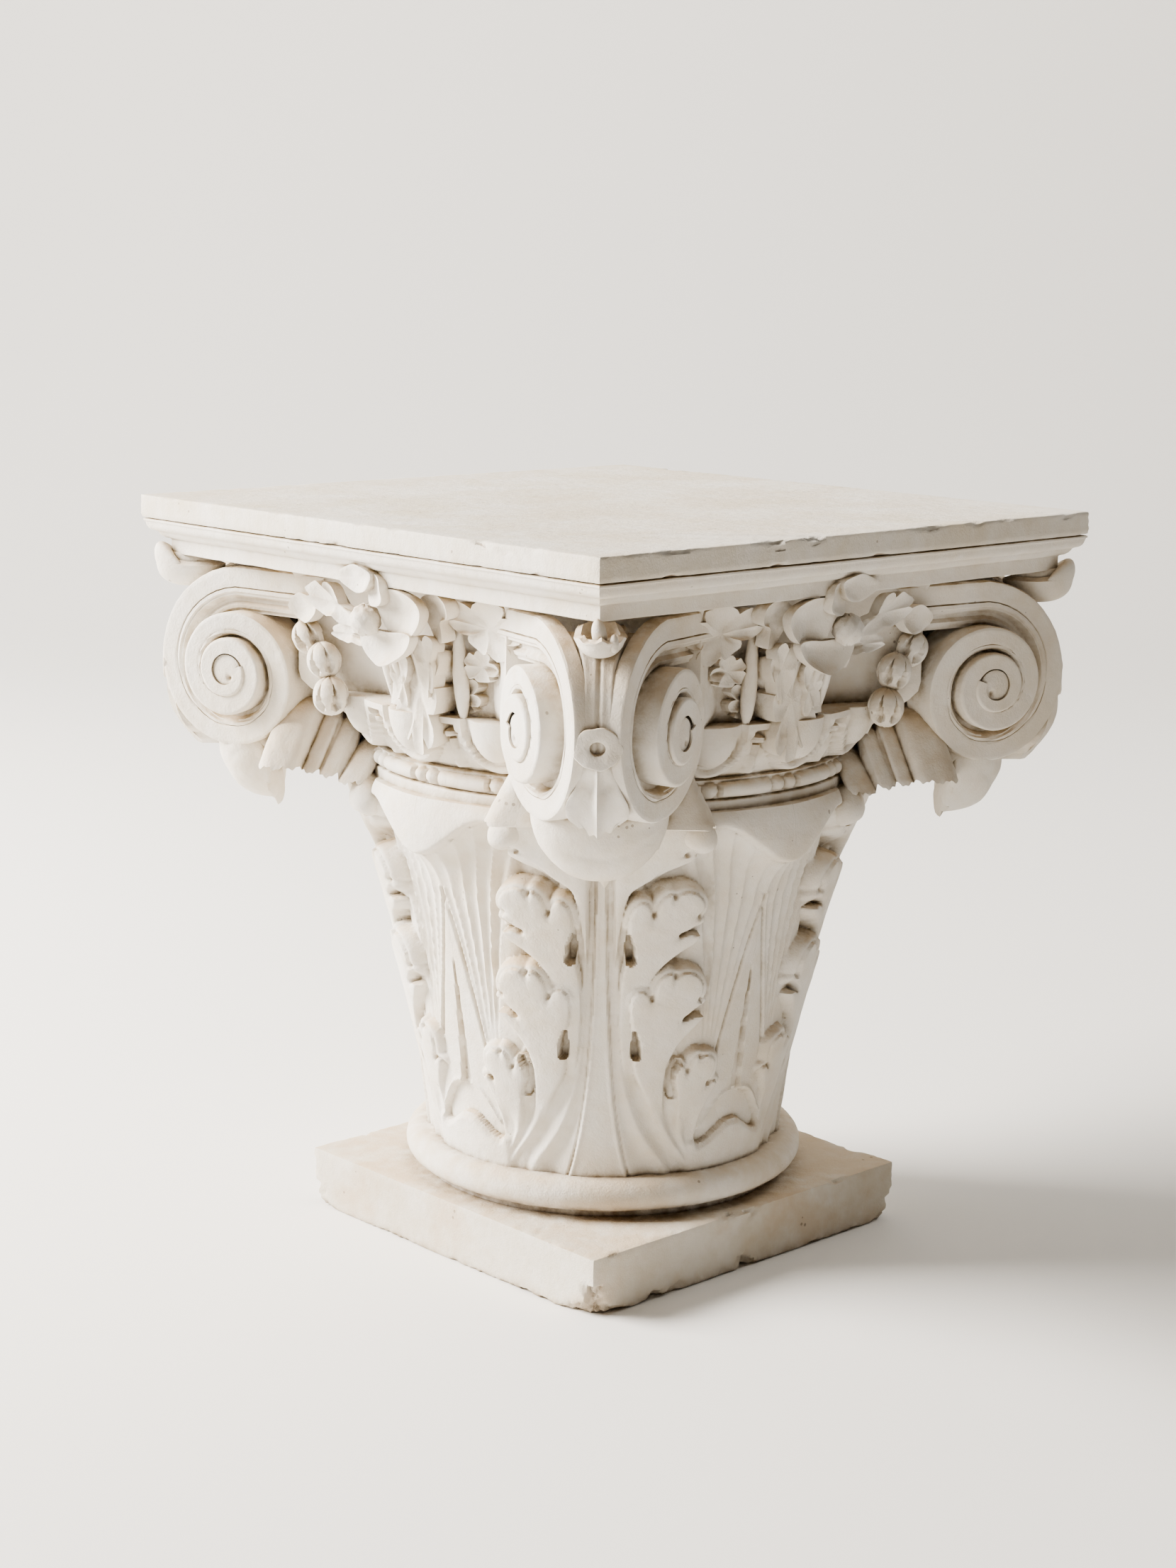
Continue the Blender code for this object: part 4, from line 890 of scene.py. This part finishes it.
def weld(piece, reach=0.00002):
    """Merges the doubled points where a ring closes."""
    open_mesh(piece)
    bpy.ops.mesh.remove_doubles(threshold=reach)
    close_mesh()


ring = wrapped_grid("echinus_ring", EGG_COLUMNS * 16, 80, carved_ring)
weld(ring)
finish_casting(ring, wave=0.0006, breadth=0.014, sharp=45)

# Neck. Four plain plaster walls, hollow in plan, stand back behind the flowers. They spread to the
# volutes and are coved out under the abacus, and are cast in one with both.
NECK_RADIUS = 0.198
NECK_CORNER_RADIUS = 0.2735
NECK_SPREAD = radians(29)
NECK_FOOT_Z = 0.455
COVE_Z = 0.568
COVE_HEIGHT = 0.0235
COVE_OUT = 0.016
ABACUS_UNDERSIDE = 0.5903
# A raised flat panel behind the leaves, in degrees from the face's middle, with a step in it.
PANEL_EDGES = (12.5, 26)
PANEL_STEP = 21.5
PANEL_RADIUS = 0.2225


def neck_wall(u, v):
    angle = u * 2 * pi
    from_face = (angle + pi / 4) % (pi / 2) - pi / 4
    share = np.clip(np.abs(from_face) / NECK_SPREAD, 0, 1)
    z = np.interp(v, [0, 0.8, 1], [NECK_FOOT_Z, COVE_Z, ABACUS_UNDERSIDE + 0.001])
    hollow = NECK_RADIUS + (NECK_CORNER_RADIUS - NECK_RADIUS) * share ** 3.6
    across = pi / 4 - np.abs(from_face)
    flat = NECK_CORNER_RADIUS * cos(pi / 4 - NECK_SPREAD) / np.cos(across)
    radius = np.where(np.abs(from_face) > NECK_SPREAD, flat, hollow)
    hand = np.where(np.round(angle / (pi / 2)) % 2 == 0, 1, -1)
    turned = np.degrees(from_face * hand)
    panel = PANEL_RADIUS + 0.0030 * eased((turned - PANEL_STEP) / 0.5)
    on_panel = eased((turned - PANEL_EDGES[0]) / 1.0) * eased((PANEL_EDGES[1] - turned) / 1.0)
    on_panel = on_panel * eased((0.572 - z) / 0.012)
    radius = np.maximum(radius, radius + (panel - radius) * on_panel)
    radius = radius - 0.044 * eased((0.500 - z) / 0.045) * share ** 2
    rise = np.clip((z - COVE_Z) / COVE_HEIGHT, 0, 1)
    cove = COVE_OUT * (1 - np.sqrt(np.clip(1 - rise ** 2, 0, 1)))
    return (radius + cove) * np.cos(angle), (radius + cove) * np.sin(angle), z


neck = wrapped_grid("neck_wall", 720, 18, neck_wall)
weld(neck)
finish_casting(neck, wave=0.0010, breadth=0.02, sharp=40)

# Volutes. Eight flat spirals, two to a corner, their ribbons running in from under the abacus. The
# outer turn has a flat band, a bead line and a hollow channel; the inner turns rise as flat bosses.
VOLUTE_REACH = 0.3884
VOLUTE_HALF_NOSE = 0.0165
VOLUTE_SPLAY = radians(25)
VOLUTE_RADIUS = 0.087
TURN_RATIO = 0.563
EYE_Z = 0.4973
EYE_SETBACK = VOLUTE_RADIUS * TURN_RATIO ** 0.25
RIBBON_RUN_IN = 0.088
RIBBON_END = 1010
RUN_IN_ROWS = 8
TURN_ROWS = 122
RIM_DEPTH = 0.012
INNER_DEPTH = 0.034
RISE_ANGLES = [0, 170, 300, 380, 560, 720, 1100]
RISES = [0, 0, 0.0085, 0.0138, 0.0150, 0.0170, 0.0178]
# Share of the ribbon's width that is flat band; the rest is a hollow channel behind a bead.
BAND_ANGLES = [0, 90, 180, 270, 360, 450, 560]
BAND_SHARES = [0.43, 0.45, 0.54, 0.64, 0.60, 0.72, 1.0]
# Share of the ribbon's grid that is its outer edge, and the part of that which drops behind the face.
RIM_SHARE = 0.06
RIM_DROP_SHARE = 0.02
EYE_RADIUS = 0.0142
RIBBON_WALL = 0.0015


def volute_place(outwards, up, proud, side):
    """A place on a volute's face, or proud of it, in the frame of the +X corner; side is 1 or -1."""
    inwards = EYE_SETBACK - outwards
    along = VOLUTE_REACH - inwards * cos(VOLUTE_SPLAY) + proud * sin(VOLUTE_SPLAY)
    across = VOLUTE_HALF_NOSE + inwards * sin(VOLUTE_SPLAY) + proud * cos(VOLUTE_SPLAY)
    return along, side * across, EYE_Z + up


def ribbon_level(turned_by):
    return np.interp(turned_by, RISE_ANGLES, RISES)


def ribbon_profile(s, turned_by):
    """Flat band, bead line and hollow channel across the ribbon; the channel dies out towards the eye."""
    band = np.interp(turned_by, BAND_ANGLES, BAND_SHARES)
    deep = np.clip((1 - band) / 0.35, 0, 1)
    channel = -0.0092 * eased((s - band - 0.11) / 0.14) * deep
    lines = -0.0024 * soft_line(s - band, 0.018) - 0.0020 * soft_line(s - band - 0.11, 0.018)
    inner_bead = 0.0034 * soft_line(s - 0.86, 0.05) * (1 - eased(turned_by / 90))
    return channel + lines * deep + inner_bead


def ribbon(u, v):
    row = v * (RUN_IN_ROWS + TURN_ROWS)
    turned_by = np.clip((row - RUN_IN_ROWS) / TURN_ROWS, 0, 1) * RIBBON_END
    run_in = np.clip((RUN_IN_ROWS - row) / RUN_IN_ROWS, 0, 1)
    s = np.clip((u - RIM_SHARE) / (1 - RIM_SHARE), 0, 1)
    outer = VOLUTE_RADIUS * TURN_RATIO ** (turned_by / 360)
    inner = VOLUTE_RADIUS * TURN_RATIO ** ((turned_by + 360) / 360)
    radius = outer + (inner - outer) * s
    turn = np.radians(turned_by)
    outwards = radius * np.sin(turn) - RIBBON_RUN_IN * run_in
    up = radius * np.cos(turn) - 0.003 * run_in
    proud = ribbon_level(turned_by) + ribbon_profile(s, turned_by)
    proud = proud - 0.0010 * (1 - rounded(s * (outer - inner) / 0.0012))
    below = np.where(turned_by < 150, -RIM_DEPTH, -INNER_DEPTH)
    turn_above = ribbon_level(turned_by - 360) + ribbon_profile(1.0, turned_by - 360)
    below = np.where(turned_by >= 360, turn_above, below)
    dropped = u < RIM_DROP_SHARE
    proud = np.where(dropped, below, proud)
    outwards = np.where(dropped, outwards - 0.0006 * np.sin(turn), outwards)
    up = np.where(dropped, up - 0.0006 * np.cos(turn), up)
    return volute_place(outwards, up, proud, 1)


def eye_disc(x, y, z):
    """The flat round end of the spiral, level with its last turn."""
    rim = np.hypot(x, y)
    spread = np.clip(rim * 1.25, 0, 1) / np.maximum(rim, 0.001)
    flat_x, flat_y = x * spread * EYE_RADIUS, y * spread * EYE_RADIUS
    comma = 0.0035 * np.exp(-((flat_x + 0.0035) ** 2 + (flat_y + 0.0055) ** 2) / 0.0020 ** 2)
    return volute_place(flat_x, flat_y, 0.0050 + 0.0124 * np.sign(z) * np.abs(z) ** 0.2 - comma, 1)


volute = wrapped_grid("volute", 28, RUN_IN_ROWS + TURN_ROWS, ribbon)
apply_modifier(volute, "SOLIDIFY", thickness=RIBBON_WALL, offset=-1)
volute = join_pieces([volute, pulled_ball("eye", 36, 36, eye_disc)], "volute")
face_outwards(volute)
for piece in turned_copies(volute, [(angle, hand) for angle in CORNERS for hand in (1, -1)]):
    finish_casting(piece, wave=0.0008, breadth=0.020, sharp=35)

# Nose of each corner. Between the two volutes runs a stem of two ribs, with a pierced rosette at its
# middle and a two-lobed husk from there down over the leaf's tip, all cast with the volutes.
NOSE_RECESS = 0.007
STEM_HALF = 0.0116
STEM_WALL = 0.006
NOSE_HALF = 0.019
# The strip's lower and upper end, in degrees round the volute's outer turn.
NOSE_TURNS = [200, 8]
HUSK_HEAD_Z = 0.4835
HUSK_LENGTH = 0.0590
HUSK_BACK = 0.335
HUSK_SHARES = [0, 0.12, 0.36, 0.60, 0.74, 0.88, 1]
HUSK_HALVES = [0.0126, 0.0130, 0.0162, 0.0222, 0.0240, 0.0232, 0.0165]
ROSETTE_RADIUS = 0.0186
ROSETTE_Z = 0.4975
ROSETTE_SETBACK = 0.0032
# How much it is stretched outwards, across and up.
ROSETTE_STRETCH = (0.65, 1.02, 0.88)
# The rosette's section from its rim to the hole in its middle: radius and height.
ROSETTE_RUN = [
    (0.0165, 0.0), (0.0182, 0.002), (0.0186, 0.0075), (0.0180, 0.0092), (0.0160, 0.0096), (0.0100, 0.0078),
    (0.0070, 0.0076), (0.0058, 0.0062), (0.0048, -0.0060),
]


def nose_strip(u, v):
    turned_by = np.interp(v, [0, 1], NOSE_TURNS)
    across = 2 * u - 1
    half = NOSE_HALF + 0.012 * eased((45 - turned_by) / 40)
    y = across * half
    flare = STEM_HALF + 0.0075 * eased((58 - turned_by) / 40) ** 1.5
    raised = 0.0062 * rounded((flare - np.abs(y)) / 0.0026)
    groove = 0.0030 * soft_line(y, 0.0017) + 0.0012 * np.sin(np.clip(np.abs(y) / flare, 0, 1) * pi)
    radius = VOLUTE_RADIUS * TURN_RATIO ** (turned_by / 360) - NOSE_RECESS + raised
    radius = radius - groove * (raised > 0.003)
    turn = np.radians(turned_by)
    inwards = EYE_SETBACK - radius * np.sin(turn)
    return VOLUTE_REACH - inwards * cos(VOLUTE_SPLAY) - 0.001, y, EYE_Z + radius * np.cos(turn)


def husk_front(u, v):
    """A husk from the rosette down: two hollowed lobes, a ridge between them, and a spread torn foot."""
    across = 2 * u - 1
    down = v * (1 - 0.20 * np.abs(across) ** 1.5 + 0.03 * np.sin(across * 13))
    half = np.interp(v, HUSK_SHARES, HUSK_HALVES)
    hollow = 0.0115 * np.sin(np.abs(across) ** 0.8 * pi) ** 1.3 * eased(v * 3) * (1 - 0.5 * v)
    ridge = 0.0016 * soft_line(across, 0.07)
    out = VOLUTE_REACH - 0.0015 - 0.0250 * down ** 1.6 + 0.0050 * np.sin(pi * down)
    out = out - hollow + ridge - 0.0075 * np.abs(across) ** 3
    return out, across * half, HUSK_HEAD_Z - HUSK_LENGTH * down


strip = wrapped_grid("nose", 40, 60, nose_strip)
apply_modifier(strip, "SOLIDIFY", thickness=STEM_WALL, offset=-1)
husk = wrapped_grid("husk", 40, 34, husk_front)
close_behind(husk, HUSK_BACK)
round_ring(*ROSETTE_RUN[0], 64)
rosette = raise_ring(ROSETTE_RUN, "rosette")
across, up, out = vertices_of(rosette).T
turn = np.arctan2(up, across)
far = np.hypot(across, up) / ROSETTE_RADIUS
scallop = 1 + (0.030 * np.cos(turn * 5 + 0.5) + 0.020 * np.cos(turn * 9)) * far ** 3 - 0.03 * far ** 3
flat, wide, tall = ROSETTE_STRETCH
out = out * flat + VOLUTE_REACH - ROSETTE_SETBACK - 0.0022 * (across / ROSETTE_RADIUS) ** 2
set_vertices(rosette, np.stack([out, across * scallop * wide, up * scallop * tall + ROSETTE_Z], 1))
nose = join_pieces([strip, husk, rosette], "nose")
face_outwards(nose)
for piece in turned_copies(nose, CORNERS):
    finish_casting(piece, wave=0.0009, breadth=0.012, sharp=42)

# Cups. Under each corner of the abacus a thick leaf curls out like a shallow pan, its tip rolled up in a
# fat curl. The front one has lost its tip, so its rim is ragged and the stub of its core shows.
CUP_MIDDLE = 0.3670
CUP_RIM_Z = 0.5850
CUP_HALF_LENGTH = 0.0305
CUP_HALF_WIDTH = 0.0196
CUP_DEPTH = 0.0225
# How much of the broken rim is gone.
CUP_LOSS = 0.0070
# Middle and half sizes of the rolled tip, and of the stub and the splinter in the broken cup.
CURL = (0.3925, 0.0, 0.5850)
CURL_HALVES = (0.0092, 0.0178, 0.0155)
STUB = (0.3830, 0.0, 0.5805)
STUB_HALVES = (0.0056, 0.0056, 0.0125)
SPLINTER = (0.3880, 0.0108, 0.5755)
SPLINTER_HALVES = (0.0034, 0.0034, 0.0070)


def cup_shape(broken):
    def shape(x, y, z):
        outer = z < 0
        fullness = np.clip(np.hypot(x, y), 0.001, 1) ** -0.3
        wide = np.where(outer, 1.0, 0.74) * fullness
        dish = -0.0100 * np.sin(np.clip(z / 0.5, 0, 1) * pi) + 0.0070 * eased((z - 0.45) / 0.35)
        rim = np.clip(1 - np.abs(z) / 0.45, 0, 1)
        turn = np.arctan2(y, x)
        rise = 0.0030 * rim * np.clip(x, 0, 1)
        if broken:
            ragged = 0.0014 * np.sin(turn * 5 + 1) + 0.0009 * np.sin(turn * 11)
            dish = np.where(outer, 0, -0.0110 * np.sin(np.clip(z, 0, 1) * pi / 2))
            rise = (ragged - CUP_LOSS * eased((x + 0.9) / 0.9)) * rim
        fall = np.where(outer, -CUP_DEPTH * np.abs(z) ** 0.9, dish)
        across = CUP_HALF_WIDTH * y * wide * (1 - 0.16 * x)
        return CUP_MIDDLE + CUP_HALF_LENGTH * x * wide, across, CUP_RIM_Z + fall + rise
    return shape


def curl_shape(x, y, z):
    """The rolled tip: a fat bar bent round the outer end of the pan, highest in the middle."""
    out = CURL[0] + CURL_HALVES[0] * x - 0.0150 * y ** 2 - 0.0035 * (1 - z)
    up = CURL[2] + CURL_HALVES[2] * z * (1 - 0.35 * y ** 2) - 0.0030 * y ** 2
    return out, CURL[1] + CURL_HALVES[1] * y, up


def stub_shape(x, y, z):
    out = STUB[0] + STUB_HALVES[0] * x + 0.0010 * np.sin(z * 6)
    return out, STUB[1] + STUB_HALVES[1] * y - 0.0015 * z, STUB[2] + STUB_HALVES[2] * z


def splinter_shape(x, y, z):
    return [middle + half * along for middle, half, along in zip(SPLINTER, SPLINTER_HALVES, (x, y, z))]


cup = join_pieces([pulled_ball("leaf_cup", 44, 28, cup_shape(False)),
                   pulled_ball("curl", 24, 16, curl_shape)], "leaf_cup")
broken_cup = join_pieces([pulled_ball("leaf_cup_broken", 48, 32, cup_shape(True)),
                          pulled_ball("stub", 16, 14, stub_shape),
                          pulled_ball("splinter", 12, 8, splinter_shape)], "leaf_cup_broken")
front = CORNERS[2]
whole = [corner for corner in CORNERS if corner != front]
for piece in turned_copies(cup, whole) + turned_copies(broken_cup, [front]):
    face_outwards(piece)
    finish_casting(piece, wave=0.0009, breadth=0.010, sharp=45)

# Flowers. On each face a five-petalled flower leans over the abacus, with curled and toothed leaves
# towards one corner, a sprig climbing over the echinus, and three buds on a drop towards the other.
FACES = [(pi, 1), (-pi / 2, -1), (0, 1), (pi / 2, -1)]
# Each leaf or petal: how far out it stands and its slopes outwards to the side and up, how far its rim
# is cupped forwards, how deep it is, its teeth, its ribs, and its outline in thousandths of a metre.
SPRAY = [
    (0.2770, 0.10, 0.22, 0.0035, 0.016, 0, 0, [
        (-33, 595), (-22, 603), (-8, 607), (6, 606), (15, 602), (13, 594), (8, 587), (-6, 583), (-19, 585),
    ]),
    (0.2740, 0.25, 0.10, 0.0040, 0.014, 0, 0, [
        (4, 601), (16, 601), (26, 594), (26, 584), (19, 575), (5, 575), (0, 588),
    ]),
    (0.2660, 0.05, 0.20, 0.0060, 0.010, 0, 0, [
        (10, 573), (10, 582), (22, 589), (42, 590), (58, 585), (64, 575), (60, 562), (48, 552), (32, 549),
        (18, 554),
    ]),
    (0.2660, 0.05, -0.15, 0.0065, 0.010, 0, 0, [
        (-14, 549), (-2, 554), (20, 554), (40, 556), (52, 554), (46, 541), (32, 531), (18, 526), (4, 528),
        (-8, 536),
    ]),
    (0.2640, -0.06, 0.18, 0.0050, 0.010, 5, 1, [
        (-87, 576), (-78, 584), (-66, 588), (-54, 586), (-44, 574), (-30, 566), (-16, 560), (-22, 551),
        (-40, 552), (-58, 556), (-78, 564),
    ]),
    (0.2600, 0.00, -0.10, 0.0035, 0.009, 3, 1, [
        (-62, 546), (-46, 554), (-27, 553), (-12, 548), (-16, 538), (-34, 538), (-52, 540),
    ]),
    (0.2500, 0.10, 0.25, 0.0070, 0.014, 0, 0, [
        (44, 574), (48, 584), (60, 588), (74, 588), (82, 582), (78, 570), (68, 566), (69, 556), (66, 548),
        (54, 552), (50, 564),
    ]),
    (0.2160, 0.05, 0.12, 0.0035, 0.020, 7, 2, [
        (25, 485), (26, 498), (30, 508), (44, 518), (62, 520), (76, 516), (79, 504), (75, 494), (64, 488),
        (44, 484),
    ]),
    (0.2120, 0.05, 0.05, 0.0020, 0.014, 0, 2, [
        (27, 505), (26, 530), (30, 556), (44, 558), (58, 550), (54, 534), (49, 518), (38, 508),
    ]),
    (0.2380, -0.04, 0.16, 0.0060, 0.016, 6, 3, [
        (62, 570), (70, 580), (88, 585), (112, 586), (136, 583), (148, 572), (148, 556), (136, 545),
        (122, 538), (106, 541), (92, 548), (82, 556), (70, 560),
    ]),
    (0.2250, -0.02, 0.10, 0.0035, 0.014, 5, 1, [
        (67, 530), (72, 539), (86, 544), (102, 539), (107, 529), (100, 520), (84, 517), (70, 520),
    ]),
    (0.2400, 0.02, 0.14, 0.0030, 0.022, 9, 2, [
        (-11, 484), (-8, 500), (-2, 516), (5, 530), (14, 541), (26, 547), (42, 550), (58, 548), (60, 536),
        (54, 514), (49, 494), (44, 474), (36, 456), (25, 449), (14, 452), (2, 466),
    ]),
    (0.2440, 0.00, 0.20, 0.0040, 0.010, 4, 1, [
        (-2, 520), (2, 530), (12, 536), (22, 532), (20, 516), (16, 500), (12, 488), (4, 492), (0, 506),
    ]),
    (0.2480, 0.00, 0.24, 0.0040, 0.012, 4, 1, [
        (34, 530), (38, 548), (50, 556), (60, 550), (58, 534), (52, 516), (46, 500), (38, 506),
    ]),
    (0.2470, 0.00, 0.20, 0.0060, 0.012, 0, 0, [
        (-132, 558), (-124, 568), (-110, 571), (-97, 566), (-98, 554), (-110, 545), (-124, 547),
    ]),
]
PISTIL = (0.2725, 0.0, 0.5620)
PISTIL_RADIUS = 0.0125
# Foot, head and thickness of each stalk.
STALKS = [
    ((0.2240, -0.015, 0.482), (0.2560, -0.004, 0.550), 0.0080),
    ((0.2240, -0.001, 0.482), (0.2560, 0.008, 0.550), 0.0075),
    ((0.2140, -0.030, 0.505), (0.2420, -0.020, 0.545), 0.0060),
    ((0.2180, -0.060, 0.520), (0.2520, -0.030, 0.556), 0.0050),
    ((0.2200, 0.060, 0.486), (0.2300, 0.064, 0.560), 0.0110),
]
# Each bud: its place along the face, its height and size, and how far its top leans in degrees.
BUDS = [(-0.1220, 0.5310, 0.0280, -30), (-0.1015, 0.5135, 0.0285, -14), (-0.0925, 0.4845, 0.0300, -2)]
BUD_OUT = 0.2360
BUD_TILT = 6
BUD_TURN = 9
BUD_SEPALS = 6
SLIT_CROWDING = 0.55
# The back of a leaf takes this share of its grid; the rest is its face.
LEAF_BACK_SHARE = 0.14


def outlined_leaf(out, side_slope, up_slope, cup, deep, teeth, ribs, outline):
    """A leaf inside a measured outline: its rim cupped forwards and notched, its ribs sunk, its wall going
    back to the neck."""
    run = smooth_run(outline, True, 6) / 1000
    middle = run.mean(0)

    def shape(u, v):
        far = np.clip(v / (1 - LEAF_BACK_SHARE), 0, 1)
        back = np.clip((v - (1 - LEAF_BACK_SHARE)) / LEAF_BACK_SHARE, 0, 1)
        at = u * len(run)
        steps = np.arange(len(run) + 1)
        rim = [np.interp(at, steps, np.append(run[:, k], run[0, k])) for k in (0, 1)]
        notch = 1 - 0.27 * np.abs(np.cos(u * pi * teeth)) ** 14 if teeth else 1.0
        y, z = (middle[k] + (rim[k] - middle[k]) * far * notch * (1 - 0.10 * back) for k in (0, 1))
        x = out + side_slope * (y - middle[0]) + up_slope * (z - middle[1]) + cup * (far ** 2.2 - 0.4)
        x = x + 0.0014 * np.cos(u * 2 * pi * max(teeth, 3)) * far ** 2
        for rib in range(ribs):
            line = (u - (rib + 0.5) / ribs + 0.5) % 1 - 0.5
            x = x - 0.0036 * soft_line(line * far, 0.020) * np.sin(pi * np.clip(far, 0.02, 0.98))
        x = x - 0.0020 * (1 - rounded((1 - far) * 9)) - deep * back
        return x, y, z

    leaf = wrapped_grid("leaf", 54, 12, shape)
    weld(leaf, 0.00005)
    open_mesh(leaf)
    select_rim()
    bpy.ops.mesh.edge_face_add()
    close_mesh()
    return leaf


def bud_shape(size):
    """A round bud held by sepals. The slits between them are thin at the top and gape lower down, and the
    ball's lines are crowded towards them, which keeps their edges crisp."""
    def shape(x, y, z):
        turn = np.arctan2(y, x)
        turn = turn - SLIT_CROWDING * np.sin(BUD_SEPALS * turn) / BUD_SEPALS
        nearest = np.abs((turn * BUD_SEPALS / (2 * pi) + 0.5) % 1 - 0.5) * 2
        fall = np.clip((0.80 - z) / 1.50, 0, 1)
        slit = 0.80 * fall ** 1.5 * (1 - fall ** 8)
        opened = eased((slit - nearest) / 0.10 + 0.5) * (slit > 0.02)
        radius = size / 2 * (1.03 - 0.34 * opened - 0.05 * (1 - nearest) ** 2)
        ring = np.hypot(x, y) * radius
        return ring * np.cos(turn), ring * np.sin(turn), z * radius * 1.10
    return shape


def put(piece, place, lean, tilt, turn):
    """Leans a piece in the plane of the face, tilts it forwards, turns it about the vertical, and puts it
    at its place. Angles are in degrees."""
    turned = Matrix.Rotation(radians(turn), 4, "Z") @ Matrix.Rotation(radians(tilt), 4, "Y")
    piece.data.transform(Matrix.Translation(place) @ turned @ Matrix.Rotation(radians(-lean), 4, "X"))
    return piece


def pistil_shape(x, y, z):
    knobs = 1 + 0.10 * np.sin(7 * np.arctan2(y, x)) * np.sin(6 * np.arccos(np.clip(z, -1, 1)))
    return [middle + PISTIL_RADIUS * along * knobs for middle, along in zip(PISTIL, (x, y, z))]


def stalk_shape(width, length):
    """A stalk with its middle at the origin, a little thicker at its foot."""
    def shape(x, y, z):
        thick = 1.2 - 0.2 * z
        return x * width / 2 * thick, y * width / 2 * thick, z * length * 0.55
    return shape


parts = [outlined_leaf(*leaf) for leaf in SPRAY]
parts.append(pulled_ball("pistil", 24, 16, pistil_shape))
for foot_place, head_place, width in STALKS:
    foot_place, head_place = Vector(foot_place), Vector(head_place)
    run = head_place - foot_place
    stalk = pulled_ball("stalk", 12, 8, stalk_shape(width, run.length))
    aim = run.to_track_quat("Z", "Y").to_matrix().to_4x4()
    stalk.data.transform(Matrix.Translation((foot_place + head_place) / 2) @ aim)
    parts.append(stalk)
for y, z, size, lean in BUDS:
    parts.append(put(pulled_ball("bud", 60, 30, bud_shape(size)), (BUD_OUT, y, z), lean, BUD_TILT, BUD_TURN))
flower = join_pieces(parts, "face_flower")
face_outwards(flower)
for piece in turned_copies(flower, FACES):
    finish_casting(piece, wave=0.0012, breadth=0.010, sharp=50)

# Abacus. The square moulded bed under the slab, of the same plaster as the bell and cast in one with it.
# Its edge is moulded with fillet, ovolo, cove and band.
ABACUS_TOP = 0.6213
ABACUS_POINT_STEP = 0.0044
# Its waviness, and how much it is drawn in about a height near its top to stay inside its solid.
ABACUS_WAVE = 0.0003
ABACUS_DRAW_IN = 0.0015
ABACUS_DRAW_Z = 0.606
# Its section from the underside up: half side and distance below the top.
ABACUS_RUN = [
    (0.2400, 0.0310), (0.2710, 0.0310), (0.2714, 0.0306), (0.2716, 0.0296), (0.2716, 0.0200),
    (0.2718, 0.0188), (0.2728, 0.0182), (0.2752, 0.0176), (0.2776, 0.0160), (0.2792, 0.0140),
    (0.2800, 0.0124), (0.2810, 0.0118), (0.2822, 0.0116), (0.2842, 0.0108), (0.2858, 0.0094),
    (0.2868, 0.0076), (0.2874, 0.0056), (0.2877, 0.0040), (0.2882, 0.0032), (0.2889, 0.0029),
    (0.2890, 0.0022), (0.2889, 0.0014), (0.2880, 0.0009), (0.2830, 0.0007), (0.2500, 0.0000),
]
levels = [(half, ABACUS_TOP - drop) for half, drop in ABACUS_RUN]
square_ring(*levels[0], ABACUS_POINT_STEP)
abacus = raise_ring(levels, "abacus")
points = vertices_of(abacus)
wave = noise_field(points / 0.05, 21)[:, None] * np.array([1, 1, 0.6]) * ABACUS_WAVE
set_vertices(abacus, points * (1 - ABACUS_DRAW_IN) + np.array([0, 0, ABACUS_DRAW_IN * ABACUS_DRAW_Z]) + wave)
place_piece(abacus, "capital", capital_plaster, 30)

# Top slab. A plain square slab bedded on the abacus with a fine open joint; its arrises are nicked and
# its top has yellowed a little with wax and handling.
SLAB_CHIP = 0.0027
SLAB_GRAIN = 0.009
SLAB_POINT_STEP = 0.0036
SLAB_LEVELS = 11
# The slab's lower arris is a little rounded.
ARRIS_IN = 0.0012
ARRIS_UP = 0.0002
SLAB_BREAKS = [(-1, -1, 0.012, 0.0015, 0.03), (1, -1, 0.012, 0.002, 0.03), (-1, 0.06, 0.020, 0.004, 0.003),
               (0.06, -1, 0.014, 0.004, 0.003), (-0.35, -1, 0.010, 0.003, 0.03)]

# Its hollow colour paints shade into the joint under the slab as well as dust.
slab_plaster = cast_plaster("plaster_cast_waxed_cream", "dfd9ce", "d0c5b1", "8a6e46",
                            dust_and_shade_share=0.9, settled=0.12, stain="cdbfa4", stain_share=0.45, pit_share=0.25)
low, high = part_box("top_slab")
slab_half = high[0] - SIDE_MARGIN
levels = [(slab_half - 0.012, low[2]), (slab_half - 0.004, low[2]), (slab_half - ARRIS_IN, low[2] + ARRIS_UP)]
for step in range(1, SLAB_LEVELS + 1):
    levels.append((slab_half, low[2] + ARRIS_IN + (high[2] - low[2] - ARRIS_IN) * step / SLAB_LEVELS))
levels += [(slab_half - inset, high[2]) for inset in (0.0015, 0.004, 0.010)]
square_ring(*levels[0], SLAB_POINT_STEP)
slab = raise_ring(levels, "slab")
wear_arrises(slab, slab_half, low[2], high[2], SLAB_CHIP, SLAB_GRAIN, seed=8, low_wear=0.5,
             breaks=SLAB_BREAKS)
place_piece(slab, "top_slab", slab_plaster)
